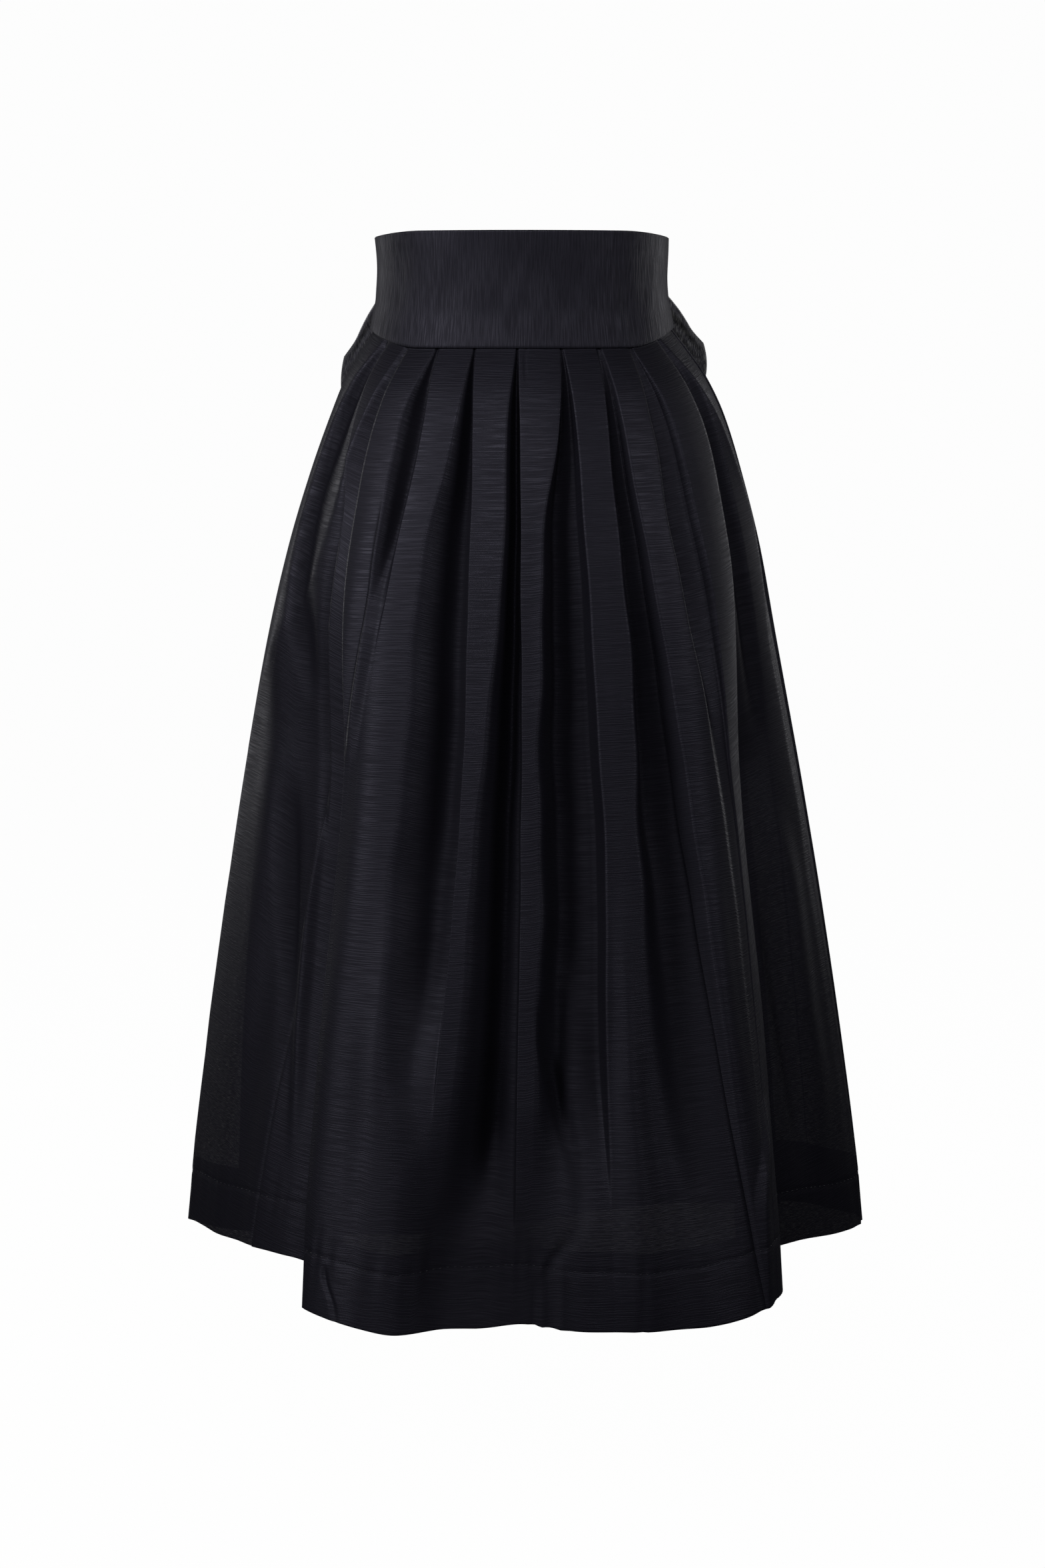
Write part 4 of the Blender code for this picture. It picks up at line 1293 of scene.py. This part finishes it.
@dataclass
class Sash:
    """The ties that run round the band to the centre back and are tied there in a bow."""

    band: Waistband
    strap_ends: tuple[float, float] = (104.0, 167.0)    # bearings, from its seam to the knot
    strap_halves: tuple[float, float] = (0.031, 0.016)   # half its width at the two
    strap_z: float = 0.003
    strap_lift: float = 0.0125   # how far it stands off the band at the knot
    strap_rest: float = 0.0019   # and all along
    strap_gather: float = 0.0020   # depth of its gathers at the knot
    strap_puff: float = 0.0024   # how far they lift it
    knot_size: tuple[float, float, float] = (0.040, 0.027, 0.046)
    knot_centre: tuple[float, float, float] = (0.0, 0.1090, 0.002)
    rings: tuple[LoopRing, ...] = (
        LoopRing(0.000, 0.016, 0.000, -0.016, 0.1090, 0.0060),
        LoopRing(0.022, 0.024, 0.016, -0.028, 0.1140, 0.0100),
        LoopRing(0.055, 0.024, 0.040, -0.052, 0.1200, 0.0170),
        LoopRing(0.088, 0.010, 0.070, -0.080, 0.1240, 0.0200),
        LoopRing(0.115, -0.016, 0.098, -0.100, 0.1250, 0.0160),
        LoopRing(0.135, -0.047, 0.122, -0.114, 0.1250, 0.0080),
    )
    tip_bulge: float = 0.009
    loop_gather: tuple[float, float] = (0.0012, 0.0018)   # at the tip, and what the knot adds
    tail_rings: tuple[TailRing, ...] = (
        TailRing(0.0000, 0.0105, 0.1120, 0.0090),
        TailRing(0.0200, 0.0130, 0.1190, 0.0115),
        TailRing(0.0500, 0.0190, 0.1275, 0.0170),
        TailRing(0.0950, 0.0270, 0.1340, 0.0240),
        TailRing(0.1600, 0.0360, 0.1370, 0.0310),
        TailRing(0.2400, 0.0440, 0.1370, 0.0360),
        TailRing(0.3200, 0.0500, 0.1365, 0.0400),
    )
    tail_slant: float = 0.030    # how much longer one edge is than the other
    tail_gather: float = 0.0022
    tail_opened: float = 0.65    # share of its gathers that has gone at the end
    tail_sway: float = 0.0020
    knot_square: float = 3.2     # how square the knot is, seen from above; 2 is round
    knot_gather: float = 0.045   # depth of its gathers, as a share of its size
    knot_waist: float = 0.05     # how much narrower its middle is
    across: int = 41             # points across every strip
    hangs: tuple[tuple[str, int, float, float], ...] = (   # side, sign, how a loop droops and reaches
        ("left", -1, 1.25, 0.985), ("right", 1, 1.0, 1.0))

    def gathers(self, across: np.ndarray, seed: float, depth: float) -> np.ndarray:
        """Height of the gathers that run along the sash.

        Args:
            across: places across it, from -1 to 1.
            seed: a number that makes each piece's gathers its own.
            depth: half the height of the deepest gather, in metres.

        Returns:
            The height at each place, in metres.
        """
        turn = math.pi * across
        main = np.cos(2.5 * turn + 0.3 * seed)
        fine = 0.45 * np.cos(4.7 * turn + seed) + 0.25 * np.cos(7.9 * turn - 2 * seed)
        return depth * (main + fine) / 1.4

    def strap(self, side: int) -> Grid:
        """The tie on one side of the band: broad and flat at its seam, gathered at the knot.

        Args:
            side: -1 on the left, 1 on the right.

        Returns:
            Its sheet.
        """
        across = np.linspace(1.0, -1.0, self.across)
        wide, narrow = self.strap_halves
        columns = []
        for run in np.linspace(0.0, 1.0, 60):
            bearing = side * (self.strap_ends[0] + (self.strap_ends[1] - self.strap_ends[0]) * run)
            height = self.strap_z + (wide + (narrow - wide) * float(ramp(0, 1, run))) * across
            place = np.array([bearing])
            low, top = self.band.form.seam_z(place)[0], self.band.top_z(place)[0]
            face = np.array([self.band.face(place, float(up))[0] for up in (height - low) / (top - low)])
            off = self.strap_rest + self.strap_lift * run ** 3
            off = off + (self.gathers(across, side, self.strap_gather) + self.strap_puff) * run
            columns.append(around(bearing, face + off, height))
        return Grid(np.stack(columns if side > 0 else columns[::-1], axis=1))

    def loop(self, side: int, droop: float, reach: float) -> Grid:
        """One loop of the bow: the sash goes out beside the body, turns, and comes back behind.

        Args:
            side: -1 on the left, 1 on the right.
            droop: how much lower it hangs than its rings say.
            reach: how much further out it goes than they say.

        Returns:
            Its sheet.
        """
        numbers = list(range(len(self.rings)))

        def figure(name: str, place: float) -> float:
            """A figure of the rings at a place between the first and the last."""
            return between(numbers, [getattr(ring, name) for ring in self.rings], place)

        across = np.linspace(-1.0, 1.0, self.across)
        share = (1.0 + across) / 2.0
        rows = []
        for run in np.linspace(-1.0, 1.0, 121):
            place = numbers[-1] * (1.0 - abs(run)) ** 0.9
            layer = math.sin(min(1.0, max(-1.0, run / 0.10)) * math.pi / 2.0)
            low_out, top_out = figure("low_out", place), figure("top_out", place)
            low_up, top_up = figure("low_up", place), figure("top_up", place)
            gap = figure("gap", place)
            out = low_out + (top_out - low_out) * share
            bulge = self.tip_bulge * (1.0 - across ** 2) * (out / self.rings[-1].top_out) ** 2
            out = out + bulge + gap / 2.0 * (1.0 - abs(layer))
            at_tip, at_knot = self.loop_gather
            gathers = self.gathers(across, side + layer, at_tip + at_knot * (1.0 - place / numbers[-1]))
            aside = side * (self.knot_size[0] / 2.0 + SEAM_GAP + out * reach)
            behind = figure("behind", place) + layer * (gap / 2.0 + gathers)
            height = self.knot_centre[2] + droop * (low_up + (top_up - low_up) * share)
            rows.append(np.stack([aside, behind, height], axis=-1))
        points = np.stack(rows)
        return Grid(points if side > 0 else points[:, ::-1])

    def tail(self, side: int) -> Grid:
        """One hanging end, with its gathers opening out below the knot.

        Args:
            side: -1 on the left, 1 on the right.

        Returns:
            Its sheet.
        """
        downs = [ring.down for ring in self.tail_rings]
        top = self.knot_centre[2] - self.knot_size[2] / 2.0 - SEAM_GAP
        across = np.linspace(-1.0, 1.0, self.across)
        rows = []
        for down in np.linspace(0.0, downs[-1], 90):
            columns = [[getattr(ring, name) for ring in self.tail_rings]
                       for name in ("aside", "behind", "half_width")]
            aside, behind, half = [between(downs, column, down) for column in columns]
            share = down / downs[-1]
            slant = self.tail_slant * (1.0 + across) / 2.0 * share
            depth = self.tail_gather * (1.0 - self.tail_opened * share)
            gathers = self.gathers(across, 2.0 + side, depth)
            sway = self.tail_sway * math.sin(9.0 * down + side)
            rows.append(np.stack([side * (aside + across * half), behind + sway + gathers,
                                  top - down - slant], axis=-1))
        points = np.stack(rows)
        return Grid(points if side < 0 else points[:, ::-1])

    def knot(self) -> Grid:
        """The knot: the sash drawn round the middle of the bow, with gathers along it.

        Returns:
            Its sheet.
        """
        wide, deep, tall = (size / 2.0 for size in self.knot_size)
        angle = np.linspace(0.0, 2.0 * math.pi, 97)
        power = self.knot_square
        square = (np.abs(np.cos(angle)) ** power + np.abs(np.sin(angle)) ** power) ** (-1.0 / power)
        rows = []
        for up in np.sin(np.linspace(-math.pi / 2, math.pi / 2, 41)):
            narrow = (1.0 - abs(up) ** 5.0) ** 0.35 if abs(up) < 1.0 else 0.02
            fold = 1.0 - self.knot_gather * (0.5 + 0.5 * np.cos(9.0 * up + 1.2 * np.sin(angle * 2.0)))
            reach = square * narrow * fold * (1.0 - self.knot_waist * (1.0 - up ** 2))
            rows.append(np.stack([self.knot_centre[0] + wide * reach * np.cos(angle),
                                  self.knot_centre[1] + deep * reach * np.sin(angle),
                                  np.full_like(angle, self.knot_centre[2] - up * tall)], axis=-1))
        return Grid(np.stack(rows)[:, ::-1])

    def build(self) -> dict[str, bpy.types.Object]:
        """Build every piece of the sash.

        Returns:
            The pieces by the names of the solids they stand for.
        """
        grids = {"tie_knot": self.knot()}
        for name, side, droop, reach in self.hangs:
            grids[f"tie_strap_{name}"] = self.strap(side)
            grids[f"bow_loop_{name}"] = self.loop(side, droop, reach)
            grids[f"tie_tail_{name}"] = self.tail(side)
        pieces = {}
        for node, grid in grids.items():
            pieces[node] = add_object(f"{node}_cloth", grid.mesh(f"{node}_cloth"))
        return pieces

    @staticmethod
    def dress(pieces: dict[str, bpy.types.Object], cloth: bpy.types.Material) -> None:
        """Give the sash its cloth, hang its pieces on the body and hide the solids they stand for.

        Args:
            pieces: the pieces by the names of the solids they stand for.
            cloth: their material.
        """
        for node, piece in pieces.items():
            dress_piece(piece, cloth, node)


# ---------------------------------------------------------------- studio
@dataclass(frozen=True)
class SoftBox:
    """A soft light, with its place, what it points at and its width and height in metres."""

    name: str
    place: tuple[float, float, float]
    aim: tuple[float, float, float]
    size: tuple[float, float]
    watts: float

    def build(self) -> None:
        """Add the light, which the camera doesn't see."""
        data = bpy.data.lights.new(self.name, "AREA")
        data.shape = "RECTANGLE"
        data.size, data.size_y = self.size
        data.energy = self.watts
        lamp = bpy.data.objects.new(self.name, data)
        bpy.context.scene.collection.objects.link(lamp)
        lamp.location = self.place
        lamp.rotation_euler = (Vector(self.aim) - Vector(self.place)).to_track_quat("-Z", "Y").to_euler()
        lamp.visible_camera = False


@dataclass
class Studio:
    """A pale round floor that curves up into a white wall all round, soft lights and the camera."""

    floor_z: float = -1.10
    reach: float = 6.0
    bend: float = 1.5
    height: float = 6.0
    glow: float = 0.98
    room_light: float = 0.008
    camera_place: tuple[float, float, float] = (0.0, -2.0, -0.008)
    camera_tilt: float = 11.518    # degrees below level
    lens: float = 54.53            # millimetres
    film: float = 36.0             # millimetres, along the picture's longer side
    boxes: tuple[SoftBox, ...] = (
        SoftBox("left box", (-1.50, -1.13, 0.50), (0.0, 0.0, -0.25), (0.7, 1.0), 16.6),
        SoftBox("right box", (1.50, -1.13, 0.50), (0.0, 0.0, -0.25), (0.7, 1.0), 8.0),
        SoftBox("front box", (-0.18, -1.85, 0.75), (0.0, 0.0, -0.05), (0.9, 0.45), 11.6),
        SoftBox("low left box", (-1.30, -1.15, -0.72), (-0.22, 0.0, -0.88), (0.4, 0.3), 1.5),
        SoftBox("back box", (0.1, 2.0, 1.0), (0.0, 0.1, -0.35), (1.1, 0.8), 13.0),
        SoftBox("left rim", (-1.4, 0.8, 0.0), (0.0, 0.0, -0.25), (0.4, 1.2), 4.6),
        SoftBox("right rim", (1.4, 0.8, 0.1), (0.0, 0.0, -0.1), (0.4, 1.2), 5.2),
    )

    def backdrop(self) -> None:
        """Build the floor and wall as one dish; it shines evenly, and no cloth mirrors it."""
        profile = [(0.0, 0.0), (self.reach - self.bend, 0.0)]
        for turn in range(1, 13):
            angle = math.radians(90.0 * turn / 12)
            profile.append((self.reach - self.bend + self.bend * math.sin(angle),
                            self.bend * (1.0 - math.cos(angle))))
        profile.append((self.reach, self.height))
        work = bmesh.new()
        verts = [work.verts.new((out, 0.0, self.floor_z + up)) for out, up in profile]
        edges = [work.edges.new(pair) for pair in zip(verts, verts[1:])]
        bmesh.ops.spin(work, geom=verts + edges, cent=(0, 0, 0), axis=(0, 0, 1), angle=2 * math.pi,
                       steps=48, use_merge=True)
        bmesh.ops.remove_doubles(work, verts=work.verts[:], dist=1e-5)
        mesh = meshed(work, bpy.data.meshes.new("floor"))
        mesh.shade_smooth()
        mesh.materials.append(Graph("pale paper").finished({
            "Base Color": (0.02, 0.02, 0.02, 1.0), "Roughness": 1.0, "Specular IOR Level": 0.0,
            "Emission Color": (1.0, 1.0, 1.0, 1.0), "Emission Strength": self.glow}))
        floor = add_object("floor", mesh)
        floor.visible_glossy = False
        floor.visible_diffuse = False
        floor.visible_shadow = False

    def camera(self) -> None:
        """Set the camera where the photograph was taken from."""
        data = bpy.data.cameras.new("camera")
        data.sensor_width = self.film
        data.lens = self.lens
        camera = bpy.data.objects.new("camera", data)
        bpy.context.scene.collection.objects.link(camera)
        camera.location = self.camera_place
        camera.rotation_euler = (math.radians(90.0 - self.camera_tilt), 0.0, 0.0)
        bpy.context.scene.camera = camera

    def build(self) -> None:
        """Set the whole studio."""
        self.camera()
        self.backdrop()
        for box in self.boxes:
            box.build()
        world = bpy.data.worlds.new("room")
        world.use_nodes = True
        light = world.node_tree.nodes["Background"]
        light.inputs["Color"].default_value = (0.8, 0.86, 1.0, 1.0)
        light.inputs["Strength"].default_value = self.room_light
        bpy.context.scene.world = world
        bpy.context.scene.view_settings.view_transform = "Standard"


def write_sizes() -> None:
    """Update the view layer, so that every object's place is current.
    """
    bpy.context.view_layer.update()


def main() -> None:
    """Build the skirt piece by piece and report each one."""
    logging.basicConfig(level=logging.INFO, format="%(name)s: %(message)s")
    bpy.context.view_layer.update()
    form = SkirtForm()
    band = Waistband(form)
    cloths = [TaffetaFinish("navy taffeta front").material(),
              TaffetaFinish("navy taffeta outer", side_cover=0.962).material(),
              TaffetaFinish("navy taffeta under", cover=0.94).material()]
    band_cloth = TaffetaFinish("navy band taffeta", Grain.UPRIGHT, cover=1.0, contrast=0.85,
                               slub_length=0.022, relief=0.45).material()
    sash_cloth = TaffetaFinish("navy sash taffeta", cover=0.88).material()
    thread = ThreadFinish().material()
    for panel, cloth in zip(PanelSet(form, band).panels(), cloths):
        piece = panel.build()
        stitches = HemStitches(panel)
        thread_piece = stitches.build()
        stitches.dress(thread_piece, thread)
        panel.dress(piece, cloth, thread_piece)
        log.info("%s: %d faces, hem stitches: %d faces", panel.name, len(piece.data.polygons),
                 len(thread_piece.data.polygons))
    piece = band.build()
    band.dress(piece, band_cloth)
    log.info("%s: %d faces", piece.name, len(piece.data.polygons))
    sash = Sash(band)
    pieces = sash.build()
    sash.dress(pieces, sash_cloth)
    for piece in pieces.values():
        log.info("%s: %d faces", piece.name, len(piece.data.polygons))
    Studio().build()
    write_sizes()


if __name__ == "__main__":
    main()
